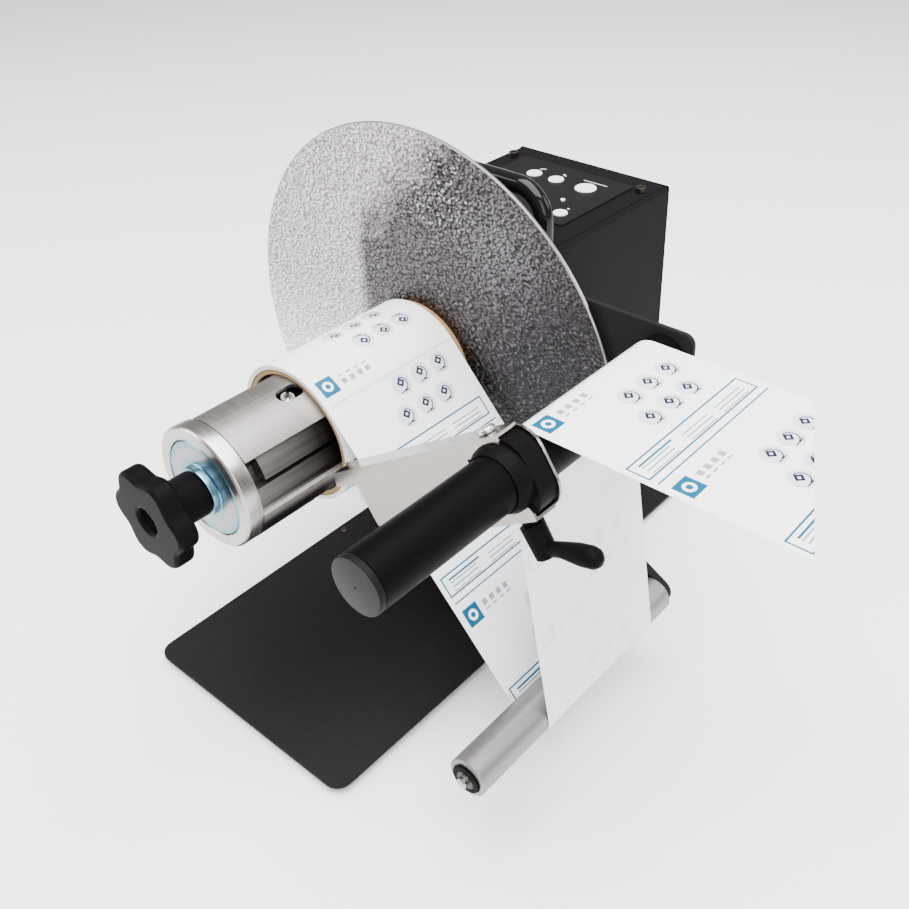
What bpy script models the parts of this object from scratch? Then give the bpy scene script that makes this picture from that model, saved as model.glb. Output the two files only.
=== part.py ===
"""Label rewinder: a bench machine that winds printed labels onto a core.

World axes: X to the right along the face plate, Y from the front to the
back, Z up.  The pieces are worked out from the point on the base plate's
underside that lies straight below the spindle, in the plane of the winding
flange's front face.  At the end all are moved together, so that the origin
lies on the bench, in the middle of the machine's box seen from above.
"""

import math

import bmesh
import bpy
from mathutils import Matrix, Vector

MM = 0.001

# Clearances
SEAT = 0.3 * MM
OVERRUN = 5.0 * MM

# Base plate and feet
BASE_LEFT = -73.0 * MM
BASE_RIGHT = 102.0 * MM
BASE_FRONT = -193.4 * MM
BASE_BACK = 186.0 * MM
BASE_THICKNESS = 3.0 * MM
BASE_CORNER = 10.0 * MM
FOOT_RADIUS = 9.0 * MM
FOOT_HEIGHT = 5.0 * MM
FOOT_INSET = 14.0 * MM

# Spindle line
SPINDLE_ABOVE_BASE = 160.0 * MM
SPINDLE_RADIUS = 8.0 * MM
STUD_RADIUS = 5.0 * MM
SPINDLE_FRONT = -205.0 * MM
STUD_LENGTH = 49.0 * MM
SPINDLE_BACK = 60.0 * MM

# Winding flange and its hub
FLANGE_RADIUS = 152.5 * MM
FLANGE_THICKNESS = 2.0 * MM
HUB_RADIUS = 28.0 * MM
HUB_PLATE = 1.8 * MM
HUB_BOSS_RADIUS = 14.0 * MM
HUB_BOSS_LENGTH = 3.2 * MM

# Face plate
PLATE_FRONT = 4.6 * MM
PLATE_THICKNESS = 3.0 * MM
PLATE_LEFT = -68.0 * MM
PLATE_RIGHT = 193.6 * MM
PLATE_TOP = 82.4 * MM
PLATE_ARM_BOTTOM = 44.0 * MM
PLATE_CORNER = 6.0 * MM
PLATE_FILLET = 20.0 * MM
PLATE_BORE = 19.0 * MM
PLATE_FOOT_WIDTH = 104.0 * MM
PLATE_FOOT_DEPTH = 18.0 * MM

# Cabinet cover and back panel
COVER_HALF_WIDTH = 65.5 * MM
COVER_TOP = 75.5 * MM
COVER_WALL = 1.5 * MM
COVER_BEND = 3.0 * MM
COVER_FLANGE = 10.0 * MM
PANEL_BACK = 183.0 * MM
PANEL_THICKNESS = 1.5 * MM
RAIL_INSET = 2.0 * MM
RAIL_WIDTH = 11.0 * MM
RAIL_HEIGHT = 9.0 * MM

# Carry handle
HANDLE_RADIUS = 5.85 * MM
HANDLE_HALF_SPAN = 57.0 * MM
HANDLE_DEPTH = 55.0 * MM
HANDLE_RISE = 35.2 * MM
HANDLE_BEND = 20.0 * MM

# Control panel: centre and radius of each button
CONTROL_HALF_WIDTH = 48.0 * MM
CONTROL_FRONT = 84.0 * MM
CONTROL_BACK = 166.0 * MM
CONTROL_THICKNESS = 0.8 * MM
CONTROL_CORNER = 3.0 * MM
FORWARD_BUTTON = (-21.0 * MM, 143.0 * MM, 5.5 * MM)
REVERSE_BUTTON = (-1.8 * MM, 143.0 * MM, 5.5 * MM)
START_BUTTON = (23.8 * MM, 142.6 * MM, 7.5 * MM)
POWER_BUTTON = (35.5 * MM, 99.0 * MM, 4.9 * MM)
STATUS_LAMP = (24.0 * MM, 117.0 * MM, 1.5 * MM)
BUTTON_RISE = 1.5 * MM
BUTTON_ROUND = 0.8 * MM
BUTTON_TRAVEL = 0.6 * MM
BUTTON_FLANGE = 1.2 * MM
BUTTON_FLANGE_HEIGHT = 1.6 * MM
BUTTON_LENGTH = 16.0 * MM
BOARD_SIDE_GAP = 7.0 * MM
BOARD_FRONT = 86.0 * MM
BOARD_BACK = 162.0 * MM
BOARD_THICKNESS = 1.6 * MM
SWITCH_HALF_WIDTH = 3.0 * MM
SWITCH_HEIGHT = 3.4 * MM
PILLAR_RADIUS = 3.0 * MM
PILLAR_INSET = 3.5 * MM

# Bearings
HOUSING_FLANGE_RADIUS = 32.0 * MM
HOUSING_FLANGE = 5.0 * MM
HOUSING_RADIUS = 22.0 * MM
HOUSING_LIP_RADIUS = 11.0 * MM
HOUSING_LIP = 6.0 * MM
BEARING_RADIUS = 16.0 * MM
BEARING_WIDTH = 10.0 * MM
BEARING_SEAL = 0.6 * MM
BEARING_RACE = 2.2 * MM

# Belt drive and gear motor
MOTOR_DROP = 75.0 * MM
DRIVEN_RADIUS = 30.0 * MM
DRIVE_RADIUS = 12.0 * MM
PULLEY_RIM = 3.0 * MM
PULLEY_RIM_WIDTH = 1.2 * MM
PULLEY_FRONT = 44.0 * MM
PULLEY_HUB = 14.0 * MM
PULLEY_WEB = 5.0 * MM
PULLEY_RING = 4.0 * MM
BELT_WIDTH = 9.0 * MM
BELT_THICKNESS = 2.0 * MM
MOTOR_SHAFT_RADIUS = 4.0 * MM
MOTOR_SHAFT_FRONT = 42.0 * MM
GEARBOX_RADIUS = 25.0 * MM
GEARBOX_LENGTH = 25.0 * MM
GEARBOX_BOSS = 9.0 * MM
GEARBOX_BORE = 10.0 * MM
MOTOR_RADIUS = 21.0 * MM
MOTOR_LENGTH = 60.0 * MM
MOTOR_ROUND = 2.0 * MM
MOTOR_REAR_BOSS = 6.0 * MM
MOTOR_REAR_BOSS_LENGTH = 4.0 * MM
BRACKET_FRONT = 62.0 * MM
BRACKET_THICKNESS = 3.0 * MM
BRACKET_HALF_WIDTH = 32.0 * MM
BRACKET_FOOT = 30.0 * MM
BRACKET_CORNER = 12.0 * MM

# Expanding chuck
CHUCK_FRONT = -158.0 * MM
CHUCK_FLANGE = 2.7 * MM
CHUCK_FLANGE_RADIUS = 33.0 * MM
CHUCK_LOW = 19.0 * MM
CHUCK_HIGH = 26.0 * MM
CHUCK_HALF_FLAT = 16.0 * MM
WEDGE_LENGTH = 35.0 * MM
FRONT_WEDGE = -155.0 * MM
REAR_WEDGE = -70.0 * MM
WEDGE_STEP = 0.6 * MM
WEDGE_RUN_OUT = 6.0 * MM
JAW_RADIUS = 37.8 * MM
JAW_LAND_RADIUS = 33.6 * MM
JAW_FRONT = -163.0 * MM
JAW_NOTCH = 8.5 * MM
JAW_SLIT = 2.4 * MM
JAW_CENTRE_ANGLES = (75.0, 195.0, 315.0)
JAW_CROWN_ANGLE = 35.0
JAW_SLOT_WIDTH = 8.4 * MM
JAW_SLOT_FRONT = -122.0 * MM
JAW_SLOT_BACK = -106.0 * MM
JAW_NOTCH_OVERLAP = 2.0
JAW_SLOT_ROUNDNESS = 0.98

# End collar, washer and star knob
COLLAR_RADIUS = 37.65 * MM
COLLAR_FRONT = -173.5 * MM
COLLAR_CHAMFER = 1.35 * MM
COLLAR_RECESS_RADIUS = 29.7 * MM
COLLAR_RECESS = 3.0 * MM
COLLAR_BORE = 9.0 * MM
WASHER_RADIUS = 29.4 * MM
WASHER_THICKNESS = 2.5 * MM
WASHER_HUB_RADIUS = 15.0 * MM
WASHER_HUB = 4.5 * MM
KNOB_FRONT = -210.0 * MM
KNOB_STAR_THICKNESS = 18.5 * MM
KNOB_NECK_RADIUS = 13.5 * MM
KNOB_TIP_RADIUS = 29.6 * MM
KNOB_WAVE = 3.6 * MM
KNOB_LOBES = 6
KNOB_EDGE = 3.0 * MM
KNOB_RECESS_RADIUS = 7.5 * MM
KNOB_RECESS = 2.5 * MM

# Core, label roll and label web
CORE_INNER_RADIUS = 38.1 * MM
CORE_OUTER_RADIUS = 41.25 * MM
CORE_FRONT = -106.9 * MM
ROLL_RADIUS = 43.9 * MM
WEB_FRONT = -107.5 * MM
WEB_BACK = -5.5 * MM
WEB_THICKNESS = 0.4 * MM
WEB_END_FRONT = 316.0 * MM
WEB_END_BACK = 265.5 * MM

# Guide tube
TUBE_X = 176.6 * MM
TUBE_HEIGHT = 64.1 * MM
TUBE_RADIUS = 14.2 * MM
TUBE_WALL = 2.0 * MM
TUBE_FRONT = -217.6 * MM
TUBE_PLUG = 8.0 * MM
TUBE_BOLT_RADIUS = 4.0 * MM
TUBE_BOLT_HEAD = 6.5 * MM
TUBE_BOLT_HEAD_HEIGHT = 5.0 * MM
CAP_THICKNESS = 3.0 * MM
CAP_CHAMFER = 0.9 * MM
CAP_PLUG = 8.0 * MM

# Tension arm, its pivot and its roller
ROLLER_X = 176.4 * MM
ROLLER_DROP = 115.8 * MM
ROLLER_RADIUS = 12.0 * MM
ROLLER_CHAMFER = 0.6 * MM
ROLLER_FRONT = -162.6 * MM
ROLLER_SHAFT_RADIUS = 6.0 * MM
ROLLER_SHAFT_STICKOUT = 5.0 * MM
CLIP_RADIUS = 9.0 * MM
CLIP_THICKNESS = 1.2 * MM
PIVOT_OUTSIDE_COVER = 12.5 * MM
PIVOT_DROP = 60.0 * MM
PIVOT_RADIUS = 5.0 * MM
PIVOT_SPACER_RADIUS = 8.0 * MM
PIVOT_SPACER = 9.1 * MM
PIVOT_HEAD_RADIUS = 8.5 * MM
PIVOT_HEAD = 4.0 * MM
ARM_THICKNESS = 6.0 * MM
ARM_HALF_WIDTH = 9.0 * MM
ARM_HUB_RADIUS = 11.0 * MM
ARM_DOWN_ANGLE = 0.0
ARM_UP_ANGLE = 45.0
STOP_RADIUS = 3.0 * MM
STOP_REACH = 20.0 * MM
SPRING_COIL_RADIUS = 10.4 * MM
SPRING_WIRE = 0.6 * MM
SPRING_TURNS = 3.5
SPRING_PITCH = 1.9 * MM
SPRING_LEG = 9.0 * MM

# Guide bracket on the tube, in its own tilted plane
GUIDE_TILT = 33.1
GUIDE_FRONT = -127.5 * MM
GUIDE_DEPTH = 15.0 * MM
GUIDE_SHEET = 1.5 * MM
GUIDE_TOP = 20.2 * MM
GUIDE_BOTTOM = -23.4 * MM
GUIDE_LEFT = -138.5 * MM
GUIDE_CORNER = 6.0 * MM
GUIDE_NOSE = 17.8 * MM
GUIDE_NOSE_CORNER = 14.0 * MM
LIP_LEFT = -131.3 * MM
LIP_TIP = -135.0 * MM
LIP_RIGHT = 8.2 * MM
LIP_HEIGHT = 8.2 * MM
LIP_CORNER = 3.5 * MM
FOOT_LIP_LEFT = -60.0 * MM
BLOCK_LEFT = -20.0 * MM
BLOCK_NOSE = 17.2 * MM
BLOCK_SLOT = 1.2 * MM
BLOCK_RING = 17.2 * MM
BLOCK_RING_FRONT = -134.0 * MM
BLOCK_RING_TAPER = 4.0 * MM
BLOCK_RING_THIN = 15.2 * MM
GUIDE_SCREW_PLACE = -4.5 * MM
GUIDE_SCREW_HEAD = 4.6 * MM
GUIDE_SCREW_HEIGHT = 2.8 * MM
GUIDE_SCREW_RADIUS = 2.0 * MM
GUIDE_SCREW_LENGTH = 3.9 * MM
LEVER_PLACE = -5.0 * MM
LEVER_HUB_TOP = -27.3 * MM
LEVER_HUB_RADIUS = 6.3 * MM
LEVER_HUB_LENGTH = 18.0 * MM
LEVER_ARM = 28.5 * MM
LEVER_ARM_DROP = 6.8 * MM
LEVER_TIP_RADIUS = 5.6 * MM
LEVER_NECK_RADIUS = 4.0 * MM
LEVER_COLLAR_RADIUS = 4.4 * MM
LEVER_STUD_RADIUS = 2.5 * MM
LEVER_STUD_IN = 6.5 * MM
LEVER_WAIST = 0.93
LEVER_ROOT = 0.76
# Stations of the finger arm: share of its length, radius, share of its drop
LEVER_SHAPE = ((0.0, LEVER_NECK_RADIUS, 0.0), (0.35, LEVER_NECK_RADIUS, 0.2), (0.75, LEVER_TIP_RADIUS, 0.7),
               (1.0, LEVER_TIP_RADIUS, 1.0), (1.1, LEVER_TIP_RADIUS * 0.8, 1.05),
               (1.16, LEVER_TIP_RADIUS * 0.35, 1.07))

# Rear power inlet and rocker switch
INLET_X = 28.0 * MM
INLET_HEIGHT = 40.0 * MM
INLET_RADIUS = 6.0 * MM
INLET_BORE = 3.4 * MM
INLET_FLANGE_RADIUS = 8.0 * MM
INLET_FLANGE = 1.5 * MM
INLET_LENGTH = 14.0 * MM
INLET_PIN_RADIUS = 1.0 * MM
SWITCH_X = -20.0 * MM
ROCKER_HEIGHT = 40.0 * MM
BEZEL_HALF_WIDTH = 7.5 * MM
BEZEL_HALF_HEIGHT = 10.5 * MM
BEZEL_FLANGE = 1.8 * MM
BEZEL_WALL = 1.6 * MM
BEZEL_LENGTH = 15.0 * MM
ROCKER_THICKNESS = 6.0 * MM
ROCKER_ANGLE = 8.0

# Facets
COARSE = 14
MEDIUM = 20
FINE = 28
SMOOTH = 56
WIRE_SIDES = 6

# Levels and depths worked out from the sizes above
AXIS_Z = BASE_THICKNESS + SPINDLE_ABOVE_BASE
PLATE_BACK = PLATE_FRONT + PLATE_THICKNESS
COVER_FRONT = PLATE_BACK + SEAT
COVER_BACK = PANEL_BACK - PANEL_THICKNESS - SEAT
COVER_LEVEL = AXIS_Z + COVER_TOP
FLOOR_LEVEL = BASE_THICKNESS + SEAT
TUBE_Z = AXIS_Z + TUBE_HEIGHT
ROLLER_Z = AXIS_Z - ROLLER_DROP
PIVOT_Z = AXIS_Z - PIVOT_DROP
PIVOT_X = COVER_HALF_WIDTH + PIVOT_OUTSIDE_COVER
MOTOR_Z = AXIS_Z - MOTOR_DROP
RAIL_INNER_EDGE = COVER_HALF_WIDTH - COVER_WALL - RAIL_INSET - RAIL_WIDTH
BOARD_HALF_WIDTH = RAIL_INNER_EDGE - BOARD_SIDE_GAP
WEDGE_SLOPE = (CHUCK_HIGH - CHUCK_LOW) / WEDGE_LENGTH
JAW_HALF_PITCH = 180.0 / len(JAW_CENTRE_ANGLES)
ARM_FRONT = COVER_FRONT + PIVOT_SPACER + SEAT
ARM_BACK = ARM_FRONT + ARM_THICKNESS
ARM_LENGTH = math.hypot(ROLLER_X - PIVOT_X, ROLLER_Z - PIVOT_Z)
ARM_ANGLE = math.degrees(math.atan2(ROLLER_Z - PIVOT_Z, ROLLER_X - PIVOT_X))


def clear_scene():
    """Empty the file of whatever objects it holds."""
    for old in list(bpy.data.objects):
        bpy.data.objects.remove(old, do_unlink=True)


def material(name, colour, roughness, metallic=0.0):
    """One plain Principled material per finish."""
    found = bpy.data.materials.get(name)
    if found:
        return found
    made = bpy.data.materials.new(name)
    made.use_nodes = True
    made.diffuse_color = (*colour, 1.0)
    shader = made.node_tree.nodes["Principled BSDF"]
    shader.inputs["Base Color"].default_value = (*colour, 1.0)
    shader.inputs["Roughness"].default_value = roughness
    shader.inputs["Metallic"].default_value = metallic
    return made


def powder_black():
    return material("powder_coat_black", (0.022, 0.022, 0.024), 0.55)


def gloss_black():
    return material("gloss_black", (0.012, 0.012, 0.013), 0.18)


def plastic_black():
    return material("moulded_black", (0.02, 0.02, 0.021), 0.42)


def plastic_white():
    return material("button_white", (0.82, 0.82, 0.8), 0.4)


def aluminium():
    return material("turned_aluminium", (0.8, 0.8, 0.79), 0.28, 1.0)


def steel():
    return material("bright_steel", (0.62, 0.61, 0.59), 0.25, 1.0)


def zinc():
    return material("zinc_plate", (0.58, 0.63, 0.7), 0.3, 1.0)


def rubber():
    return material("rubber", (0.03, 0.03, 0.03), 0.85)


def cardboard():
    return material("cardboard", (0.47, 0.34, 0.22), 0.85)


def paper():
    return material("label_paper", (0.85, 0.86, 0.87), 0.5)


def circuit_green():
    return material("circuit_green", (0.03, 0.2, 0.09), 0.45)


def finished(name, bm, finish, origin=(0.0, 0.0, 0.0), smooth=True):
    """Turn a bmesh in world places into an object with its origin there."""
    bmesh.ops.recalc_face_normals(bm, faces=bm.faces)
    bmesh.ops.translate(bm, verts=bm.verts, vec=-Vector(origin))
    mesh = bpy.data.meshes.new(name)
    bm.to_mesh(mesh)
    bm.free()
    if smooth:
        mesh.shade_smooth()
        mesh.set_sharp_from_angle(angle=math.radians(30.0))
    thing = bpy.data.objects.new(name, mesh)
    thing.location = origin
    thing.data.materials.append(finish)
    bpy.context.scene.collection.objects.link(thing)
    return thing


def arc(centre, radius, start, end, steps):
    """Points on an arc in a plane, angles in degrees."""
    points = []
    for index in range(steps + 1):
        angle = math.radians(start + (end - start) * index / steps)
        points.append((centre[0] + radius * math.cos(angle),
                       centre[1] + radius * math.sin(angle)))
    return points


def rounded_rectangle(left, right, low, high, radius, steps=4):
    """Outline of a rectangle with round corners, anticlockwise."""
    outline = arc((right - radius, low + radius), radius, -90.0, 0.0, steps)
    outline += arc((right - radius, high - radius), radius, 0.0, 90.0, steps)
    outline += arc((left + radius, high - radius), radius, 90.0, 180.0, steps)
    outline += arc((left + radius, low + radius), radius, 180.0, 270.0, steps)
    return outline


def prism(outline, start, end, to_world):
    """Extrude a closed outline between two depths; to_world places points."""
    bm = bmesh.new()
    first = [bm.verts.new(to_world(a, b, start)) for a, b in outline]
    face = bm.faces.new(first)
    grown = bmesh.ops.extrude_face_region(bm, geom=[face])
    shift = Vector(to_world(0.0, 0.0, end)) - Vector(to_world(0.0, 0.0, start))
    moved = [item for item in grown["geom"] if isinstance(item, bmesh.types.BMVert)]
    bmesh.ops.translate(bm, verts=moved, vec=shift)
    return bm


def upright(across, height, depth):
    """Outline across X and Z, extruded along Y."""
    return (across, depth, height)


def flat(across, depth, height):
    """Outline across X and Y, extruded along Z."""
    return (across, depth, height)


def tilted(along, across, depth):
    """Guide bracket's plane: along its slope, square to it, and Y."""
    angle = math.radians(GUIDE_TILT)
    x = TUBE_X + along * math.cos(angle) - across * math.sin(angle)
    z = TUBE_Z + along * math.sin(angle) + across * math.cos(angle)
    return (x, depth, z)


def turned(profile, centre, facets, axis="Y"):
    """Turn (radius, place) points about an axis through centre."""
    bm = bmesh.new()
    points = []
    for radius, place in profile:
        along = (radius, place, 0.0) if axis == "Y" else (radius, 0.0, place)
        points.append(bm.verts.new(along))
    closed = profile[0][0] > 0.0 and profile[-1][0] > 0.0
    pairs = list(zip(points, points[1:]))
    if closed:
        pairs.append((points[-1], points[0]))
    edges = [bm.edges.new(pair) for pair in pairs]
    spin_axis = (0.0, 1.0, 0.0) if axis == "Y" else (0.0, 0.0, 1.0)
    bmesh.ops.spin(bm, geom=points + edges, cent=(0.0, 0.0, 0.0), axis=spin_axis,
                   angle=2.0 * math.pi, steps=facets, use_merge=True)
    bmesh.ops.remove_doubles(bm, verts=bm.verts, dist=SEAT * 0.01)
    bmesh.ops.translate(bm, verts=bm.verts, vec=centre)
    return bm


def ring_profile(inner, outer, start, end):
    """Profile of a plain ring."""
    return [(inner, start), (outer, start), (outer, end), (inner, end)]


def rod_profile(radius, start, end, chamfer=0.0):
    """Profile of a plain rod, with its ends chamfered if asked."""
    if chamfer:
        return [(0.0, start), (radius - chamfer, start), (radius, start + chamfer),
                (radius, end - chamfer), (radius - chamfer, end), (0.0, end)]
    return [(0.0, start), (radius, start), (radius, end), (0.0, end)]


def swept(path, radius, sides):
    """Round bar along a list of places, its ends closed."""
    bm = bmesh.new()
    rings = []
    side = None
    for index, place in enumerate(path):
        before = Vector(path[max(index - 1, 0)])
        after = Vector(path[min(index + 1, len(path) - 1)])
        heading = (after - before).normalized()
        if side is None:
            side = heading.orthogonal().normalized()
        side = (side - heading * side.dot(heading)).normalized()
        other = heading.cross(side)
        ring = []
        for step in range(sides):
            angle = 2.0 * math.pi * step / sides
            offset = side * math.cos(angle) + other * math.sin(angle)
            ring.append(bm.verts.new(Vector(place) + offset * radius))
        rings.append(ring)
    for one, two in zip(rings, rings[1:]):
        for step in range(sides):
            after = (step + 1) % sides
            bm.faces.new((one[step], one[after], two[after], two[step]))
    bm.faces.new(rings[0])
    bm.faces.new(rings[-1])
    return bm


def ribbon(path, ends, thickness):
    """Thin sheet along a path in X and Z, with its front and back edges.

    ends gives the front and back depth at each point of the path.
    """
    bm = bmesh.new()
    rows = []
    for index, (x, z) in enumerate(path):
        before = path[max(index - 1, 0)]
        after = path[min(index + 1, len(path) - 1)]
        run = Vector((after[0] - before[0], after[1] - before[1])).normalized()
        normal = Vector((-run.y, run.x)) * thickness / 2.0
        front, back = ends[index]
        rows.append([bm.verts.new((x + normal.x, front, z + normal.y)),
                     bm.verts.new((x + normal.x, back, z + normal.y)),
                     bm.verts.new((x - normal.x, back, z - normal.y)),
                     bm.verts.new((x - normal.x, front, z - normal.y))])
    for one, two in zip(rows, rows[1:]):
        for step in range(4):
            after = (step + 1) % 4
            bm.faces.new((one[step], one[after], two[after], two[step]))
    bm.faces.new(rows[0])
    bm.faces.new(rows[-1])
    return bm


def cut(target, bm, operation="DIFFERENCE"):
    """Cut a bmesh in world places out of an object, or add it."""
    cutter = finished(target.name + "_cutter", bm, target.data.materials[0], smooth=False)
    cutter.hide_render = True
    cutter.display_type = "WIRE"
    change = target.modifiers.new("shape", "BOOLEAN")
    change.operation = operation
    change.solver = "EXACT"
    change.object = cutter
    bpy.context.view_layer.update()
    shaped = bpy.data.meshes.new_from_object(target.evaluated_get(bpy.context.evaluated_depsgraph_get()))
    target.modifiers.clear()
    target.data = shaped
    bpy.data.objects.remove(cutter, do_unlink=True)
    return target


def soften(target, width, segments=2, angle=40.0):
    """Round an object's sharp edges a little."""
    bevel = target.modifiers.new("softened_edges", "BEVEL")
    bevel.width = width
    bevel.segments = segments
    bevel.limit_method = "ANGLE"
    bevel.angle_limit = math.radians(angle)
    return target


def rod(radius, start, end, centre, facets=COARSE, axis="Y"):
    """Plain round cutter or boss."""
    return turned(rod_profile(radius, start, end), centre, facets, axis)


def crossing_tangent(centre_a, radius_a, centre_b, radius_b, side):
    """Line that leaves one circle and meets another across their centres.

    side is the turn from the line of centres to the radius on circle a, +1
    or -1.  Gives the two touching points and the direction on circle a.
    """
    dx = centre_b[0] - centre_a[0]
    dz = centre_b[1] - centre_a[1]
    lean = math.acos((radius_a + radius_b) / math.hypot(dx, dz))
    angle = math.atan2(dz, dx) + side * lean
    leave = (centre_a[0] + radius_a * math.cos(angle), centre_a[1] + radius_a * math.sin(angle))
    meet = (centre_b[0] - radius_b * math.cos(angle), centre_b[1] - radius_b * math.sin(angle))
    return leave, meet, math.degrees(angle)


# Base plate and its rubber feet
def build_base():
    outline = rounded_rectangle(BASE_LEFT, BASE_RIGHT, BASE_FRONT, BASE_BACK, BASE_CORNER, 6)
    plate = finished("base_plate", prism(outline, 0.0, BASE_THICKNESS, flat), powder_black())
    soften(plate, BASE_THICKNESS / 6.0, 1)
    for across, x in (("left", BASE_LEFT + FOOT_INSET), ("right", BASE_RIGHT - FOOT_INSET)):
        for along, y in (("front", BASE_FRONT + FOOT_INSET), ("rear", BASE_BACK - FOOT_INSET)):
            shoulder = FOOT_HEIGHT / 5.0
            profile = [(0.0, 0.0), (FOOT_RADIUS, 0.0), (FOOT_RADIUS, shoulder - FOOT_HEIGHT),
                       (FOOT_RADIUS - shoulder, -FOOT_HEIGHT), (0.0, -FOOT_HEIGHT)]
            foot = turned(profile, (x, y, -SEAT), COARSE, "Z")
            finished("foot_" + along + "_" + across, foot, rubber())


# Face plate: one folded sheet with a flag that carries the guide tube
def build_face_plate():
    right = BASE_RIGHT
    arm_bottom = AXIS_Z + PLATE_ARM_BOTTOM
    top = AXIS_Z + PLATE_TOP
    outline = [(PLATE_LEFT, FLOOR_LEVEL), (right, FLOOR_LEVEL)]
    outline += arc((right + PLATE_FILLET, arm_bottom - PLATE_FILLET), PLATE_FILLET, 180.0, 90.0, 6)
    outline += arc((PLATE_RIGHT - PLATE_CORNER, arm_bottom + PLATE_CORNER), PLATE_CORNER, -90.0, 0.0, 4)
    outline += arc((PLATE_RIGHT - PLATE_CORNER, top - PLATE_CORNER), PLATE_CORNER, 0.0, 90.0, 4)
    outline += arc((PLATE_LEFT + PLATE_CORNER, top - PLATE_CORNER), PLATE_CORNER, 90.0, 180.0, 4)
    plate = finished("face_plate", prism(outline, PLATE_FRONT, PLATE_BACK, upright), powder_black())
    foot = [(-PLATE_FOOT_WIDTH / 2.0, PLATE_FRONT + PLATE_THICKNESS / 2.0),
            (PLATE_FOOT_WIDTH / 2.0, PLATE_FRONT + PLATE_THICKNESS / 2.0),
            (PLATE_FOOT_WIDTH / 2.0, PLATE_FRONT + PLATE_FOOT_DEPTH),
            (-PLATE_FOOT_WIDTH / 2.0, PLATE_FRONT + PLATE_FOOT_DEPTH)]
    cut(plate, prism(foot, FLOOR_LEVEL, FLOOR_LEVEL + PLATE_THICKNESS, flat), "UNION")
    through = (PLATE_FRONT - OVERRUN, PLATE_BACK + OVERRUN)
    cut(plate, rod(PLATE_BORE, *through, (0.0, 0.0, AXIS_Z), MEDIUM))
    cut(plate, rod(TUBE_BOLT_RADIUS + SEAT, *through, (TUBE_X, 0.0, TUBE_Z)))
    cut(plate, rod(PIVOT_RADIUS + SEAT, *through, (PIVOT_X, 0.0, PIVOT_Z)))
    for x, z in stop_places():
        cut(plate, rod(STOP_RADIUS + SEAT, *through, (x, 0.0, z)))
    soften(plate, PLATE_THICKNESS / 8.0, 1, 60.0)


# Cabinet: folded cover, two rails that carry it, and the back panel
def cover_section():
    """Open section of the folded cover, with its inward feet."""
    outer = COVER_HALF_WIDTH
    inner = outer - COVER_WALL
    top = COVER_LEVEL
    bend = COVER_BEND
    tight = COVER_BEND - COVER_WALL
    toe = outer - COVER_FLANGE - COVER_WALL
    shape = [(toe, FLOOR_LEVEL), (outer, FLOOR_LEVEL)]
    shape += arc((outer - bend, top - bend), bend, 0.0, 90.0, 4)
    shape += arc((bend - outer, top - bend), bend, 90.0, 180.0, 4)
    shape += [(-outer, FLOOR_LEVEL), (-toe, FLOOR_LEVEL)]
    shape += [(-toe, FLOOR_LEVEL + COVER_WALL), (-inner, FLOOR_LEVEL + COVER_WALL)]
    shape += arc((tight - inner, top - COVER_WALL - tight), tight, 180.0, 90.0, 4)
    shape += arc((inner - tight, top - COVER_WALL - tight), tight, 90.0, 0.0, 4)
    shape += [(inner, FLOOR_LEVEL + COVER_WALL), (toe, FLOOR_LEVEL + COVER_WALL)]
    return shape


def build_cabinet():
    cover = finished("cabinet_cover", prism(cover_section(), COVER_FRONT, COVER_BACK, upright),
                     powder_black())
    through = (COVER_LEVEL - COVER_WALL - OVERRUN, COVER_LEVEL + OVERRUN)
    for x, y, radius in all_buttons():
        cut(cover, rod(radius + SEAT, *through, (x, y, 0.0), COARSE, "Z"))
    lamp_x, lamp_y, lamp_radius = STATUS_LAMP
    cut(cover, rod(lamp_radius + SEAT, *through, (lamp_x, lamp_y, 0.0), COARSE, "Z"))
    rail_top = COVER_LEVEL - COVER_WALL - SEAT
    for side, name in ((-1.0, "left"), (1.0, "right")):
        near = COVER_HALF_WIDTH - COVER_WALL - RAIL_INSET
        far = near - RAIL_WIDTH
        shape = [(side * near, rail_top - RAIL_HEIGHT), (side * near, rail_top),
                 (side * far, rail_top), (side * far, rail_top - RAIL_HEIGHT)]
        rail = finished("rail_" + name, prism(shape, COVER_FRONT, COVER_BACK, upright), steel())
        soften(rail, RAIL_INSET / 4.0, 1)
    start = PANEL_BACK - PANEL_THICKNESS
    outline = rounded_rectangle(-COVER_HALF_WIDTH, COVER_HALF_WIDTH, FLOOR_LEVEL, COVER_LEVEL,
                                COVER_WALL, 3)
    panel = finished("back_panel", prism(outline, start, PANEL_BACK, upright), powder_black())
    hole = (start - OVERRUN, PANEL_BACK + OVERRUN)
    cut(panel, rod(INLET_RADIUS + SEAT, *hole, (INLET_X, 0.0, INLET_HEIGHT)))
    bezel = bezel_outline(BEZEL_WALL / 2.0)
    cut(panel, prism(bezel, *hole, upright))


# Carry handle: a bent bar that stands on the cover
def build_handle():
    foot = COVER_LEVEL + SEAT
    crown = COVER_LEVEL + HANDLE_RISE
    corner_x = HANDLE_HALF_SPAN - HANDLE_BEND
    corner_z = crown - HANDLE_BEND
    points = [(-HANDLE_HALF_SPAN, foot)]
    points += arc((-corner_x, corner_z), HANDLE_BEND, 180.0, 90.0, 8)
    points += arc((corner_x, corner_z), HANDLE_BEND, 90.0, 0.0, 8)
    points += [(HANDLE_HALF_SPAN, foot)]
    path = [(x, HANDLE_DEPTH, z) for x, z in points]
    finished("carry_handle", swept(path, HANDLE_RADIUS, COARSE), gloss_black())


# Control panel, its buttons and the board under them
def all_buttons():
    return (FORWARD_BUTTON, REVERSE_BUTTON, START_BUTTON, POWER_BUTTON)


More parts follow.
